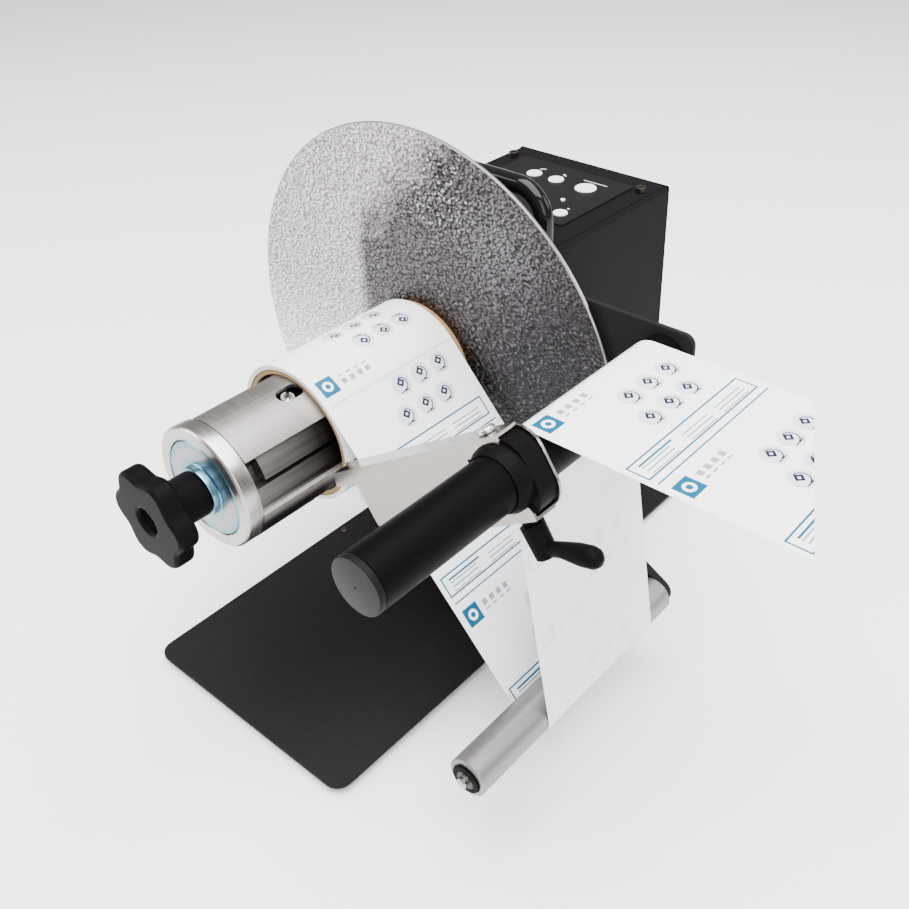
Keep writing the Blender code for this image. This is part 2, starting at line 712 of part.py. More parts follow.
def build_controls():
    panel_low = COVER_LEVEL + SEAT
    panel_high = panel_low + CONTROL_THICKNESS
    outline = rounded_rectangle(-CONTROL_HALF_WIDTH, CONTROL_HALF_WIDTH, CONTROL_FRONT,
                                CONTROL_BACK, CONTROL_CORNER)
    panel = finished("control_panel", prism(outline, panel_low, panel_high, flat), gloss_black())
    through = (panel_low - OVERRUN, panel_high + OVERRUN)
    lamp_x, lamp_y, lamp_radius = STATUS_LAMP
    for x, y, radius in all_buttons() + (STATUS_LAMP,):
        cut(panel, rod(radius + SEAT, *through, (x, y, 0.0), COARSE, "Z"))
    crown = panel_high + BUTTON_RISE
    low = crown - BUTTON_LENGTH
    under = COVER_LEVEL - COVER_WALL - SEAT
    names = ("button_forward", "button_reverse", "button_start", "button_power")
    for name, (x, y, radius) in zip(names, all_buttons()):
        edge = radius + BUTTON_FLANGE
        profile = [(0.0, low), (radius - BUTTON_FLANGE, low), (radius - BUTTON_FLANGE, under - BUTTON_FLANGE_HEIGHT),
                   (edge, under - BUTTON_FLANGE_HEIGHT), (edge, under), (radius, under),
                   (radius, crown - BUTTON_ROUND), (radius - BUTTON_ROUND / 3.0, crown - BUTTON_ROUND / 3.0),
                   (radius - BUTTON_ROUND, crown), (0.0, crown + BUTTON_ROUND / 4.0)]
        finished(name, turned(profile, (x, y, 0.0), COARSE, "Z"), plastic_white(), (x, y, crown))
    board_top = low - BUTTON_TRAVEL - SEAT - SWITCH_HEIGHT
    board_low = board_top - BOARD_THICKNESS
    lamp = rod_profile(lamp_radius, board_top + SEAT, panel_high + BUTTON_ROUND)
    finished("status_lamp", turned(lamp, (lamp_x, lamp_y, 0.0), COARSE, "Z"), plastic_white())
    outline = rounded_rectangle(-BOARD_HALF_WIDTH, BOARD_HALF_WIDTH, BOARD_FRONT, BOARD_BACK,
                                CONTROL_CORNER, 2)
    board = finished("control_board", prism(outline, board_low, board_top, flat), circuit_green())
    middle = board_low + BOARD_THICKNESS / 2.0
    half = SWITCH_HALF_WIDTH
    for x, y, radius in all_buttons():
        block = [(x - half, y - half), (x + half, y - half), (x + half, y + half), (x - half, y + half)]
        cut(board, prism(block, middle, board_top + SWITCH_HEIGHT, flat), "UNION")
    for x in (-BOARD_HALF_WIDTH + PILLAR_INSET, BOARD_HALF_WIDTH - PILLAR_INSET):
        for y in (BOARD_FRONT + PILLAR_INSET, BOARD_BACK - PILLAR_INSET):
            pillar = rod(PILLAR_RADIUS, middle, under, (x, y, 0.0), COARSE, "Z")
            cut(board, pillar, "UNION")


# Bearings that carry the spindle
def build_bearings():
    centre = (0.0, 0.0, AXIS_Z)
    start = COVER_FRONT
    seat = start + HOUSING_LIP
    end = seat + 2.0 * BEARING_WIDTH + 3.0 * SEAT
    profile = [(HOUSING_LIP_RADIUS, start), (HOUSING_FLANGE_RADIUS, start),
               (HOUSING_FLANGE_RADIUS, start + HOUSING_FLANGE), (HOUSING_RADIUS, start + HOUSING_FLANGE),
               (HOUSING_RADIUS, end), (BEARING_RADIUS + SEAT, end), (BEARING_RADIUS + SEAT, seat),
               (HOUSING_LIP_RADIUS, seat)]
    finished("bearing_housing", turned(profile, centre, MEDIUM), aluminium())
    inner = SPINDLE_RADIUS + SEAT
    for index, name in enumerate(("bearing_front", "bearing_rear")):
        near = seat + SEAT + index * (BEARING_WIDTH + SEAT)
        far = near + BEARING_WIDTH
        sunk = BEARING_SEAL
        low = inner + BEARING_RACE
        high = BEARING_RADIUS - BEARING_RACE
        profile = [(inner, near), (low, near), (low, near + sunk), (high, near + sunk), (high, near),
                   (BEARING_RADIUS, near), (BEARING_RADIUS, far), (high, far), (high, far - sunk),
                   (low, far - sunk), (low, far), (inner, far)]
        finished(name, turned(profile, centre, MEDIUM), steel())


# Spindle with the winding flange
def build_spindle():
    centre = (0.0, 0.0, AXIS_Z)
    step = SPINDLE_FRONT + STUD_LENGTH
    chamfer = STUD_RADIUS / 6.0
    profile = [(0.0, SPINDLE_FRONT), (STUD_RADIUS - chamfer, SPINDLE_FRONT),
               (STUD_RADIUS, SPINDLE_FRONT + chamfer), (STUD_RADIUS, step), (SPINDLE_RADIUS, step),
               (SPINDLE_RADIUS, SPINDLE_BACK - chamfer), (SPINDLE_RADIUS - chamfer, SPINDLE_BACK),
               (0.0, SPINDLE_BACK)]
    finished("spindle_shaft", turned(profile, centre, MEDIUM), steel(), centre)
    bore = SPINDLE_RADIUS + SEAT
    disc = ring_profile(bore, FLANGE_RADIUS, 0.0, FLANGE_THICKNESS)
    finished("winding_flange", turned(disc, centre, SMOOTH), aluminium(), centre)
    start = FLANGE_THICKNESS + SEAT
    plate = start + HUB_PLATE
    profile = [(bore, start), (HUB_RADIUS, start), (HUB_RADIUS, plate), (HUB_BOSS_RADIUS, plate),
               (HUB_BOSS_RADIUS, plate + HUB_BOSS_LENGTH), (bore, plate + HUB_BOSS_LENGTH)]
    finished("flange_hub", turned(profile, centre, MEDIUM), steel(), centre)


# Belt drive
def pulley_profile(radius, bore, hub, lightened):
    """Section of a flanged belt pulley, half of it above the axis."""
    front = PULLEY_FRONT
    seat = front + PULLEY_RIM_WIDTH
    far = seat + BELT_WIDTH + 2.0 * SEAT
    back = far + PULLEY_RIM_WIDTH
    rim = radius + PULLEY_RIM
    outer = [(rim, front), (rim, seat), (radius, seat), (radius, far), (rim, far), (rim, back)]
    if not lightened:
        return [(bore, front)] + outer + [(bore, back)]
    middle = (front + back) / 2.0
    ring = radius - PULLEY_RING
    half = PULLEY_WEB / 2.0
    return ([(bore, front), (hub, front), (hub, middle - half), (ring, middle - half), (ring, front)]
            + outer + [(ring, back), (ring, middle + half), (hub, middle + half), (hub, back),
                       (bore, back)])


def belt_loop(radius_top, radius_low, steps=20):
    """Closed belt line round the two pulleys, in X and Z."""
    lean = math.degrees(math.asin((radius_top - radius_low) / MOTOR_DROP))
    points = arc((0.0, AXIS_Z), radius_top, -lean, 180.0 + lean, steps)
    points += arc((0.0, MOTOR_Z), radius_low, 180.0 + lean, 360.0 - lean, steps // 2)
    return points


def build_drive():
    centre = (0.0, 0.0, AXIS_Z)
    bore = SPINDLE_RADIUS + SEAT
    profile = pulley_profile(DRIVEN_RADIUS, bore, PULLEY_HUB, True)
    finished("driven_pulley", turned(profile, centre, MEDIUM), aluminium(), centre)
    motor_axis = (0.0, 0.0, MOTOR_Z)
    profile = pulley_profile(DRIVE_RADIUS, MOTOR_SHAFT_RADIUS + SEAT, PULLEY_HUB, False)
    finished("drive_pulley", turned(profile, motor_axis, MEDIUM), aluminium(), motor_axis)
    inner = belt_loop(DRIVEN_RADIUS + SEAT, DRIVE_RADIUS + SEAT)
    outer = belt_loop(DRIVEN_RADIUS + SEAT + BELT_THICKNESS, DRIVE_RADIUS + SEAT + BELT_THICKNESS)
    front = PULLEY_FRONT + PULLEY_RIM_WIDTH + SEAT
    back = front + BELT_WIDTH
    bm = bmesh.new()
    rows = []
    for (ix, iz), (ox, oz) in zip(inner, outer):
        rows.append([bm.verts.new((ix, front, iz)), bm.verts.new((ox, front, oz)),
                     bm.verts.new((ox, back, oz)), bm.verts.new((ix, back, iz))])
    for index, one in enumerate(rows):
        two = rows[(index + 1) % len(rows)]
        for step in range(4):
            after = (step + 1) % 4
            bm.faces.new((one[step], one[after], two[after], two[step]))
    finished("drive_belt", bm, rubber())


def build_motor():
    axis = (0.0, 0.0, MOTOR_Z)
    back = BRACKET_FRONT + BRACKET_THICKNESS
    high = MOTOR_Z + GEARBOX_RADIUS
    outline = [(-BRACKET_HALF_WIDTH, FLOOR_LEVEL), (BRACKET_HALF_WIDTH, FLOOR_LEVEL)]
    outline += arc((BRACKET_HALF_WIDTH - BRACKET_CORNER, high - BRACKET_CORNER), BRACKET_CORNER,
                   0.0, 90.0, 4)
    outline += arc((BRACKET_CORNER - BRACKET_HALF_WIDTH, high - BRACKET_CORNER), BRACKET_CORNER,
                   90.0, 180.0, 4)
    plate = finished("motor_bracket", prism(outline, BRACKET_FRONT, back, upright), steel())
    middle = BRACKET_FRONT + BRACKET_THICKNESS / 2.0
    foot = [(-BRACKET_HALF_WIDTH, middle), (BRACKET_HALF_WIDTH, middle),
            (BRACKET_HALF_WIDTH, BRACKET_FRONT + BRACKET_FOOT),
            (-BRACKET_HALF_WIDTH, BRACKET_FRONT + BRACKET_FOOT)]
    cut(plate, prism(foot, FLOOR_LEVEL, FLOOR_LEVEL + BRACKET_THICKNESS, flat), "UNION")
    cut(plate, rod(GEARBOX_BOSS, BRACKET_FRONT - OVERRUN, back + OVERRUN, axis, COARSE))
    near = back + SEAT
    boss = BRACKET_FRONT + BRACKET_THICKNESS / 2.0
    bore = MOTOR_SHAFT_RADIUS + SEAT
    far = near + GEARBOX_LENGTH
    end = far + MOTOR_LENGTH
    profile = [(0.0, boss + GEARBOX_BORE), (bore, boss + GEARBOX_BORE), (bore, boss),
               (GEARBOX_BOSS - SEAT, boss), (GEARBOX_BOSS - SEAT, near), (GEARBOX_RADIUS, near),
               (GEARBOX_RADIUS, far), (MOTOR_RADIUS, far), (MOTOR_RADIUS, end - MOTOR_ROUND),
               (MOTOR_RADIUS - MOTOR_ROUND, end), (MOTOR_REAR_BOSS, end),
               (MOTOR_REAR_BOSS, end + MOTOR_REAR_BOSS_LENGTH), (0.0, end + MOTOR_REAR_BOSS_LENGTH)]
    finished("gear_motor", turned(profile, axis, MEDIUM), steel())
    shaft = rod_profile(MOTOR_SHAFT_RADIUS, MOTOR_SHAFT_FRONT, boss + GEARBOX_BORE - SEAT,
                        MOTOR_SHAFT_RADIUS / 8.0)
    finished("motor_shaft", turned(shaft, axis, COARSE), steel(), axis)


# Expanding chuck: a core with sloped flats, and three jaws that ride on them
def wedge_body(stations, half_flat):
    """Three flats about the axis whose distance changes along Y."""
    bm = bmesh.new()
    rings = []
    for place, distance in stations:
        ring = []
        for angle in JAW_CENTRE_ANGLES:
            turn = Matrix.Rotation(math.radians(angle), 2)
            for side in (-half_flat, half_flat):
                corner = turn @ Vector((distance, side))
                ring.append(bm.verts.new((corner.x, place, AXIS_Z + corner.y)))
        rings.append(ring)
    count = len(rings[0])
    for one, two in zip(rings, rings[1:]):
        for step in range(count):
            after = (step + 1) % count
            bm.faces.new((one[step], one[after], two[after], two[step]))
    bm.faces.new(rings[0])
    bm.faces.new(rings[-1])
    return bm


def on_slope(place, wedge):
    """Distance of a flat from the axis on the slope that starts at wedge."""
    return CHUCK_LOW + (place - wedge) * WEDGE_SLOPE


def core_stations(back):
    """The core's flats: up the front slope, down, and up the rear one."""
    front_top = FRONT_WEDGE + WEDGE_LENGTH
    rear_root = REAR_WEDGE - WEDGE_RUN_OUT
    valley = on_slope(rear_root, REAR_WEDGE)
    return [(CHUCK_FRONT, on_slope(CHUCK_FRONT, FRONT_WEDGE)), (front_top, CHUCK_HIGH),
            (front_top + WEDGE_STEP, valley), (rear_root, valley),
            (REAR_WEDGE + WEDGE_LENGTH, CHUCK_HIGH), (back, CHUCK_HIGH)]


def hollow_stations():
    """The jaws' inner flats, run on so that the jaws can slide and close."""
    front_top = FRONT_WEDGE + WEDGE_LENGTH + WEDGE_RUN_OUT
    rear_top = REAR_WEDGE + WEDGE_LENGTH + WEDGE_RUN_OUT
    low = CHUCK_LOW + SEAT
    high = on_slope(rear_top, REAR_WEDGE) + SEAT
    return [(JAW_FRONT - OVERRUN, low), (FRONT_WEDGE, low), (front_top, high),
            (REAR_WEDGE - WEDGE_STEP, high), (REAR_WEDGE, low), (rear_top, high), (OVERRUN, high)]


def build_chuck_body():
    centre = (0.0, 0.0, AXIS_Z)
    rear = -SEAT - CHUCK_FLANGE
    flats = wedge_body(core_stations(rear + CHUCK_FLANGE / 2.0), CHUCK_HALF_FLAT)
    body = finished("chuck_body", flats, aluminium(), centre)
    flange = rod(CHUCK_FLANGE_RADIUS, rear, -SEAT, centre, FINE)
    cut(body, flange, "UNION")
    cut(body, rod(SPINDLE_RADIUS + SEAT, CHUCK_FRONT - OVERRUN, OVERRUN, centre, MEDIUM))


def jaw_outline(middle):
    """Outline of one jaw before its inside is cut, in X and Z."""
    slit = JAW_SLIT / 2.0
    land_edge = JAW_HALF_PITCH - math.degrees(math.asin(slit / JAW_LAND_RADIUS))
    inner = CHUCK_LOW / 2.0
    root = slit / math.sin(math.radians(JAW_HALF_PITCH))
    points = arc((0.0, 0.0), JAW_LAND_RADIUS, middle - land_edge, middle - JAW_CROWN_ANGLE, 4)
    points += arc((0.0, 0.0), JAW_RADIUS, middle - JAW_CROWN_ANGLE, middle + JAW_CROWN_ANGLE, 14)
    points += arc((0.0, 0.0), JAW_LAND_RADIUS, middle + JAW_CROWN_ANGLE, middle + land_edge, 4)
    tip = math.radians(middle)
    for side in (1.0, -1.0):
        flank = math.radians(middle + side * JAW_HALF_PITCH)
        x = root * math.cos(tip) + inner * math.cos(flank)
        z = root * math.sin(tip) + inner * math.sin(flank)
        points.append((x, z))
    return [(x, AXIS_Z + z) for x, z in points]


def build_jaws():
    back = -CHUCK_FLANGE - 2.0 * SEAT
    for number, middle in enumerate(JAW_CENTRE_ANGLES, 1):
        angle = math.radians(middle)
        centre = (0.0, 0.0, AXIS_Z)
        jaw = finished("jaw_%d" % number, prism(jaw_outline(middle), JAW_FRONT, back, upright),
                       aluminium(), centre)
        cut(jaw, wedge_body(hollow_stations(), CHUCK_HALF_FLAT + SEAT))
        # Slot for the guide screw, open through the crown
        long_half = (JAW_SLOT_BACK - JAW_SLOT_FRONT) / 2.0
        round_half = JAW_SLOT_WIDTH / 2.0
        middle_y = (JAW_SLOT_FRONT + JAW_SLOT_BACK) / 2.0
        slot = rounded_rectangle(-round_half, round_half, middle_y - long_half, middle_y + long_half,
                                 round_half * JAW_SLOT_ROUNDNESS, 5)
        cosine = math.cos(angle)
        sine = math.sin(angle)

        def radial(across, depth, out):
            return (out * cosine - across * sine, depth, AXIS_Z + out * sine + across * cosine)

        cut(jaw, prism(slot, CHUCK_HIGH / 2.0, JAW_RADIUS + OVERRUN, radial))
        # First land starts further back than the crown
        low_edge = middle - JAW_HALF_PITCH - JAW_NOTCH_OVERLAP
        sector = [(0.0, 0.0)] + arc((0.0, 0.0), JAW_RADIUS + OVERRUN, low_edge,
                                    middle - JAW_CROWN_ANGLE, 4)
        window = [(x, AXIS_Z + z) for x, z in sector]
        cut(jaw, prism(window, JAW_FRONT - OVERRUN, JAW_FRONT + JAW_NOTCH, upright))


# End collar, pressure washer and star knob
def build_clamp_head():
    centre = (0.0, 0.0, AXIS_Z)
    rear = JAW_FRONT - SEAT
    floor = COLLAR_FRONT + COLLAR_RECESS
    edge = COLLAR_RADIUS - COLLAR_CHAMFER
    profile = [(COLLAR_BORE, floor), (COLLAR_RECESS_RADIUS, floor), (COLLAR_RECESS_RADIUS, COLLAR_FRONT),
               (edge, COLLAR_FRONT), (COLLAR_RADIUS, COLLAR_FRONT + COLLAR_CHAMFER),
               (COLLAR_RADIUS, rear), (COLLAR_BORE, rear)]
    finished("end_collar", turned(profile, centre, FINE), aluminium(), centre)
    back = floor - SEAT
    front = back - WASHER_THICKNESS
    nose = front - WASHER_HUB
    bore = STUD_RADIUS + SEAT
    soft = WASHER_HUB / 6.0
    profile = [(bore, nose), (WASHER_HUB_RADIUS - soft, nose), (WASHER_HUB_RADIUS, nose + soft),
               (WASHER_HUB_RADIUS, front), (WASHER_RADIUS, front), (WASHER_RADIUS, back), (bore, back)]
    finished("pressure_washer", turned(profile, centre, FINE), zinc(), centre)
    neck = nose - SEAT
    star_back = KNOB_FRONT + KNOB_STAR_THICKNESS
    bm = bmesh.new()
    rings = []
    levels = [(neck, 0.0, True), (star_back + KNOB_EDGE, 0.0, True), (star_back, KNOB_EDGE, False),
              (star_back - KNOB_EDGE, 0.0, False), (KNOB_FRONT + KNOB_EDGE, 0.0, False),
              (KNOB_FRONT + KNOB_EDGE / 3.0, KNOB_EDGE / 3.0, False), (KNOB_FRONT, KNOB_EDGE, False)]
    for place, drawn_in, is_neck in levels:
        ring = []
        for step in range(FINE * 3 // 2):
            angle = 2.0 * math.pi * step / (FINE * 3 // 2)
            radius = KNOB_TIP_RADIUS - KNOB_WAVE * (1.0 - math.cos(KNOB_LOBES * angle)) / 2.0
            radius = KNOB_NECK_RADIUS if is_neck else radius - drawn_in
            ring.append(bm.verts.new((radius * math.cos(angle), place, AXIS_Z + radius * math.sin(angle))))
        rings.append(ring)
    for one, two in zip(rings, rings[1:]):
        for step in range(len(one)):
            after = (step + 1) % len(one)
            bm.faces.new((one[step], one[after], two[after], two[step]))
    bm.faces.new(rings[0])
    bm.faces.new(rings[-1])
    knob = finished("star_knob", bm, plastic_black(), centre)
    cut(knob, rod(KNOB_RECESS_RADIUS, KNOB_FRONT - OVERRUN, KNOB_FRONT + KNOB_RECESS, centre, COARSE))
    cut(knob, rod(bore, KNOB_FRONT - OVERRUN, neck + OVERRUN, centre, COARSE))


# Cardboard core, the roll on it, and the label web
def build_roll():
    centre = (0.0, 0.0, AXIS_Z)
    core = ring_profile(CORE_INNER_RADIUS, CORE_OUTER_RADIUS, CORE_FRONT, -SEAT)
    finished("cardboard_core", turned(core, centre, SMOOTH), cardboard(), centre)
    outer = ROLL_RADIUS - WEB_THICKNESS / 2.0 - SEAT
    roll = ring_profile(CORE_OUTER_RADIUS + SEAT, outer, WEB_FRONT + SEAT, WEB_BACK)
    finished("label_roll", turned(roll, centre, SMOOTH), paper(), centre)


def web_lines():
    """Touching points and angles of the web on the roll, roller and tube."""
    roll = (0.0, AXIS_Z)
    roller = (ROLLER_X, ROLLER_Z)
    tube = (TUBE_X, TUBE_Z)
    half = WEB_THICKNESS / 2.0 + SEAT
    down = crossing_tangent(roll, ROLL_RADIUS, roller, ROLLER_RADIUS + half, 1.0)
    up = crossing_tangent(roller, ROLLER_RADIUS + half, tube, TUBE_RADIUS + half, -1.0)
    return down, up


def build_web():
    (leave, meet, down_angle), (rise, arrive, up_angle) = web_lines()
    half = WEB_THICKNESS / 2.0 + SEAT
    roller_wrap = arc((ROLLER_X, ROLLER_Z), ROLLER_RADIUS + half, down_angle + 180.0, up_angle + 360.0, 14)
    run = math.hypot(arrive[0] - rise[0], arrive[1] - rise[1])
    share = 1.0 - SEAT / run
    stop = (rise[0] + (arrive[0] - rise[0]) * share, rise[1] + (arrive[1] - rise[1]) * share)
    loop = [leave] + roller_wrap + [stop]
    ends = [(WEB_FRONT, WEB_BACK)] * len(loop)
    finished("web_loop", ribbon(loop, ends, WEB_THICKNESS), paper())
    tube_wrap = arc((TUBE_X, TUBE_Z), TUBE_RADIUS + half, up_angle + 180.0, 90.0, 10)
    level = TUBE_Z + TUBE_RADIUS + half
    path = tube_wrap + [(WEB_END_BACK, level)]
    ends = [(WEB_FRONT, WEB_BACK)] * len(path)
    sheet = finished("web_outgoing", ribbon(path, ends, WEB_THICKNESS), paper())
    tip = [(WEB_END_BACK - SEAT, WEB_FRONT), (WEB_END_FRONT, WEB_FRONT), (WEB_END_BACK, WEB_BACK),
           (WEB_END_BACK - SEAT, WEB_BACK)]
    cut(sheet, prism(tip, level - WEB_THICKNESS / 2.0, level + WEB_THICKNESS / 2.0, flat), "UNION")


# Guide tube on the flag of the face plate
def build_tube():
    centre = (TUBE_X, 0.0, TUBE_Z)
    front = TUBE_FRONT + CAP_THICKNESS + SEAT
    back = PLATE_FRONT - SEAT
    inner = TUBE_RADIUS - TUBE_WALL
    bore = TUBE_BOLT_RADIUS + SEAT
    profile = [(inner, front), (TUBE_RADIUS, front), (TUBE_RADIUS, back), (bore, back),
               (bore, back - TUBE_PLUG), (inner, back - TUBE_PLUG)]
    finished("guide_tube", turned(profile, centre, FINE), powder_black())
    cap = TUBE_RADIUS - CAP_CHAMFER
    plug = inner - SEAT
    profile = [(0.0, TUBE_FRONT), (cap, TUBE_FRONT), (TUBE_RADIUS, TUBE_FRONT + CAP_CHAMFER),
               (TUBE_RADIUS, TUBE_FRONT + CAP_THICKNESS), (plug, TUBE_FRONT + CAP_THICKNESS),
               (plug, TUBE_FRONT + CAP_THICKNESS + CAP_PLUG), (0.0, TUBE_FRONT + CAP_THICKNESS + CAP_PLUG)]
    finished("tube_end_cap", turned(profile, centre, FINE), steel())
    head = PLATE_BACK + SEAT
    profile = [(0.0, back - TUBE_PLUG / 2.0), (TUBE_BOLT_RADIUS, back - TUBE_PLUG / 2.0),
               (TUBE_BOLT_RADIUS, head), (TUBE_BOLT_HEAD, head),
               (TUBE_BOLT_HEAD, head + TUBE_BOLT_HEAD_HEIGHT), (0.0, head + TUBE_BOLT_HEAD_HEIGHT)]
    finished("tube_bolt", turned(profile, centre, 6), steel())


# Tension arm with its pivot, stops, spring and roller
def along_arm(reach, across, turn=0.0):
    """Place at a reach along the arm and a distance to its upper side."""
    angle = math.radians(ARM_ANGLE + turn)
    return (PIVOT_X + reach * math.cos(angle) - across * math.sin(angle),
            PIVOT_Z + reach * math.sin(angle) + across * math.cos(angle))


def stop_places():
    """The two pins that the arm's edges meet at its limits."""
    off = ARM_HALF_WIDTH + STOP_RADIUS + SEAT
    return [along_arm(STOP_REACH, -off, -ARM_DOWN_ANGLE), along_arm(STOP_REACH, off, ARM_UP_ANGLE)]


def build_arm():
    pivot = (PIVOT_X, 0.0, PIVOT_Z)
    swell = math.degrees(math.asin(ARM_HALF_WIDTH / ARM_HUB_RADIUS))
    outline = arc((0.0, 0.0), ARM_HUB_RADIUS, swell, 360.0 - swell, 20)
    outline += arc((ARM_LENGTH, 0.0), ARM_HALF_WIDTH, -90.0, 90.0, 12)

    def placed(reach, across, depth):
        x, z = along_arm(reach, across)
        return (x, depth, z)

    arm = finished("tension_arm", prism(outline, ARM_FRONT, ARM_BACK, placed), powder_black(), pivot)
    through = (ARM_FRONT - OVERRUN, ARM_BACK + OVERRUN)
    cut(arm, rod(PIVOT_RADIUS + SEAT, *through, pivot))
    cut(arm, rod(ROLLER_SHAFT_RADIUS + SEAT, *through, (ROLLER_X, 0.0, ROLLER_Z)))
    head = ARM_BACK + SEAT
    profile = [(0.0, PLATE_FRONT + SEAT), (PIVOT_RADIUS, PLATE_FRONT + SEAT), (PIVOT_RADIUS, head),
               (PIVOT_HEAD_RADIUS, head), (PIVOT_HEAD_RADIUS, head + PIVOT_HEAD), (0.0, head + PIVOT_HEAD)]
    finished("arm_pivot_bolt", turned(profile, pivot, COARSE), steel())
    spacer = ring_profile(PIVOT_RADIUS + SEAT, PIVOT_SPACER_RADIUS, COVER_FRONT, COVER_FRONT + PIVOT_SPACER)
    finished("pivot_spacer", turned(spacer, pivot, COARSE), steel())
    for name, (x, z) in zip(("stop_pin_lower", "stop_pin_upper"), stop_places()):
        pin = rod_profile(STOP_RADIUS, PLATE_FRONT + SEAT, ARM_BACK, STOP_RADIUS / 6.0)
        finished(name, turned(pin, (x, 0.0, z), COARSE), steel())
    # Torsion spring: its turns climb from the plate to the arm
    per_turn = COARSE
    start = COVER_FRONT + SPRING_WIRE + SEAT
    total = int(SPRING_TURNS * per_turn)
    first = ARM_ANGLE + 90.0
    path = []
    for index in range(total + 1):
        angle = math.radians(first + 360.0 * index / per_turn)
        path.append((PIVOT_X + SPRING_COIL_RADIUS * math.cos(angle),
                     start + SPRING_PITCH * index / per_turn,
                     PIVOT_Z + SPRING_COIL_RADIUS * math.sin(angle)))
    angle = math.radians(first)
    lead = (path[0][0] + SPRING_LEG * math.sin(angle), start, path[0][2] - SPRING_LEG * math.cos(angle))
    angle = math.radians(first + 360.0 * SPRING_TURNS)
    tail = (path[-1][0] - SPRING_LEG * math.sin(angle), path[-1][1],
            path[-1][2] + SPRING_LEG * math.cos(angle))
    path = [lead] + path + [tail]
    finished("arm_spring", swept(path, SPRING_WIRE, WIRE_SIDES), steel())
    gap = min((Vector(path[i]) - Vector(path[i + per_turn])).length
              for i in range(len(path) - per_turn)) - 2.0 * SPRING_WIRE
    print("least gap between turns of arm_spring, mm: %.2f" % (gap / MM))


def build_roller():
    centre = (ROLLER_X, 0.0, ROLLER_Z)
    back = ARM_FRONT - SEAT
    bore = ROLLER_SHAFT_RADIUS + SEAT
    lip = ROLLER_CHAMFER
    profile = [(bore, ROLLER_FRONT), (ROLLER_RADIUS - lip, ROLLER_FRONT), (ROLLER_RADIUS, ROLLER_FRONT + lip),
               (ROLLER_RADIUS, back - lip), (ROLLER_RADIUS - lip, back), (bore, back)]
    finished("dancer_roller", turned(profile, centre, FINE), aluminium(), centre)
    tip = ROLLER_FRONT - ROLLER_SHAFT_STICKOUT
    shaft = rod_profile(ROLLER_SHAFT_RADIUS, tip, ARM_BACK, ROLLER_CHAMFER)
    finished("roller_shaft", turned(shaft, centre, MEDIUM), steel(), centre)
    near = ROLLER_FRONT - SEAT - CLIP_THICKNESS
    clip = ring_profile(ROLLER_SHAFT_RADIUS + SEAT, CLIP_RADIUS, near, near + CLIP_THICKNESS)
    finished("roller_clip", turned(clip, centre, COARSE), plastic_black(), centre)


# Guide bracket clamped on the tube
def nose_outline(left, nose, low, high, corner):
    """Outline with a round-cornered nose at its right end."""
    outline = [(left, low)] + arc((nose - corner, low + corner), corner, -90.0, 0.0, 5)
    outline += arc((nose - corner, high - corner), corner, 0.0, 90.0, 5) + [(left, high)]
    return outline


def build_guide():
    """Tall rear plate, with a flange and a front lip above and below."""
    centre = (TUBE_X, 0.0, TUBE_Z)
    back = GUIDE_FRONT + GUIDE_DEPTH
    wall = GUIDE_SHEET
    top = GUIDE_TOP
    low = GUIDE_BOTTOM
    rear = nose_outline(GUIDE_LEFT, GUIDE_NOSE, low, top, GUIDE_NOSE_CORNER)[1:]
    rear += arc((GUIDE_LEFT + GUIDE_CORNER, low + GUIDE_CORNER), GUIDE_CORNER, 180.0, 270.0, 5)
    bracket = finished("guide_bracket", prism(rear, back - wall, back, tilted), steel(), centre)
    inside = back - wall / 2.0
    for left, edge, inner, sign in ((LIP_LEFT, top, top - wall, 1.0), (FOOT_LIP_LEFT, low, low + wall, -1.0)):
        flange = [(left, edge), (LIP_RIGHT, edge), (LIP_RIGHT, inner), (left, inner)]
        cut(bracket, prism(flange, GUIDE_FRONT + wall / 2.0, inside, tilted), "UNION")
        rim = edge - sign * LIP_HEIGHT
        corner = arc((LIP_RIGHT - LIP_CORNER, rim + sign * LIP_CORNER), LIP_CORNER, -sign * 90.0, 0.0, 5)
        tip = left + (LIP_TIP - LIP_LEFT)
        lip = [(left, edge), (tip, rim)] + corner + [(LIP_RIGHT, edge)]
        cut(bracket, prism(lip, GUIDE_FRONT, GUIDE_FRONT + wall, tilted), "UNION")
    bore = TUBE_RADIUS + SEAT
    cut(bracket, rod(bore, inside - wall, back + OVERRUN, centre, FINE))
    cut(bracket, rod(BLOCK_RING + SEAT, GUIDE_FRONT - OVERRUN, inside - wall, centre, FINE))
    block_front = GUIDE_FRONT + wall + SEAT
    block_back = back - wall - SEAT
    block_top = top - wall - SEAT
    block_low = low + wall + SEAT
    shape = nose_outline(BLOCK_LEFT, BLOCK_NOSE, block_low, block_top, GUIDE_NOSE_CORNER)
    block = finished("clamp_block", prism(shape, block_front, block_back, tilted), plastic_black(), centre)
    middle = (block_front + block_back) / 2.0
    collar = [(bore, BLOCK_RING_FRONT), (BLOCK_RING_THIN, BLOCK_RING_FRONT),
              (BLOCK_RING, BLOCK_RING_FRONT + BLOCK_RING_TAPER), (BLOCK_RING, middle), (bore, middle)]
    cut(block, turned(collar, centre, FINE), "UNION")
    cut(block, rod(bore, BLOCK_RING_FRONT - OVERRUN, block_back + OVERRUN, centre, FINE))
    split = [(BLOCK_LEFT - OVERRUN, -BLOCK_SLOT / 2.0), (0.0, -BLOCK_SLOT / 2.0), (0.0, BLOCK_SLOT / 2.0),
             (BLOCK_LEFT - OVERRUN, BLOCK_SLOT / 2.0)]
    cut(block, prism(split, BLOCK_RING_FRONT - OVERRUN, block_back + OVERRUN, tilted))
    return block_front, block_back


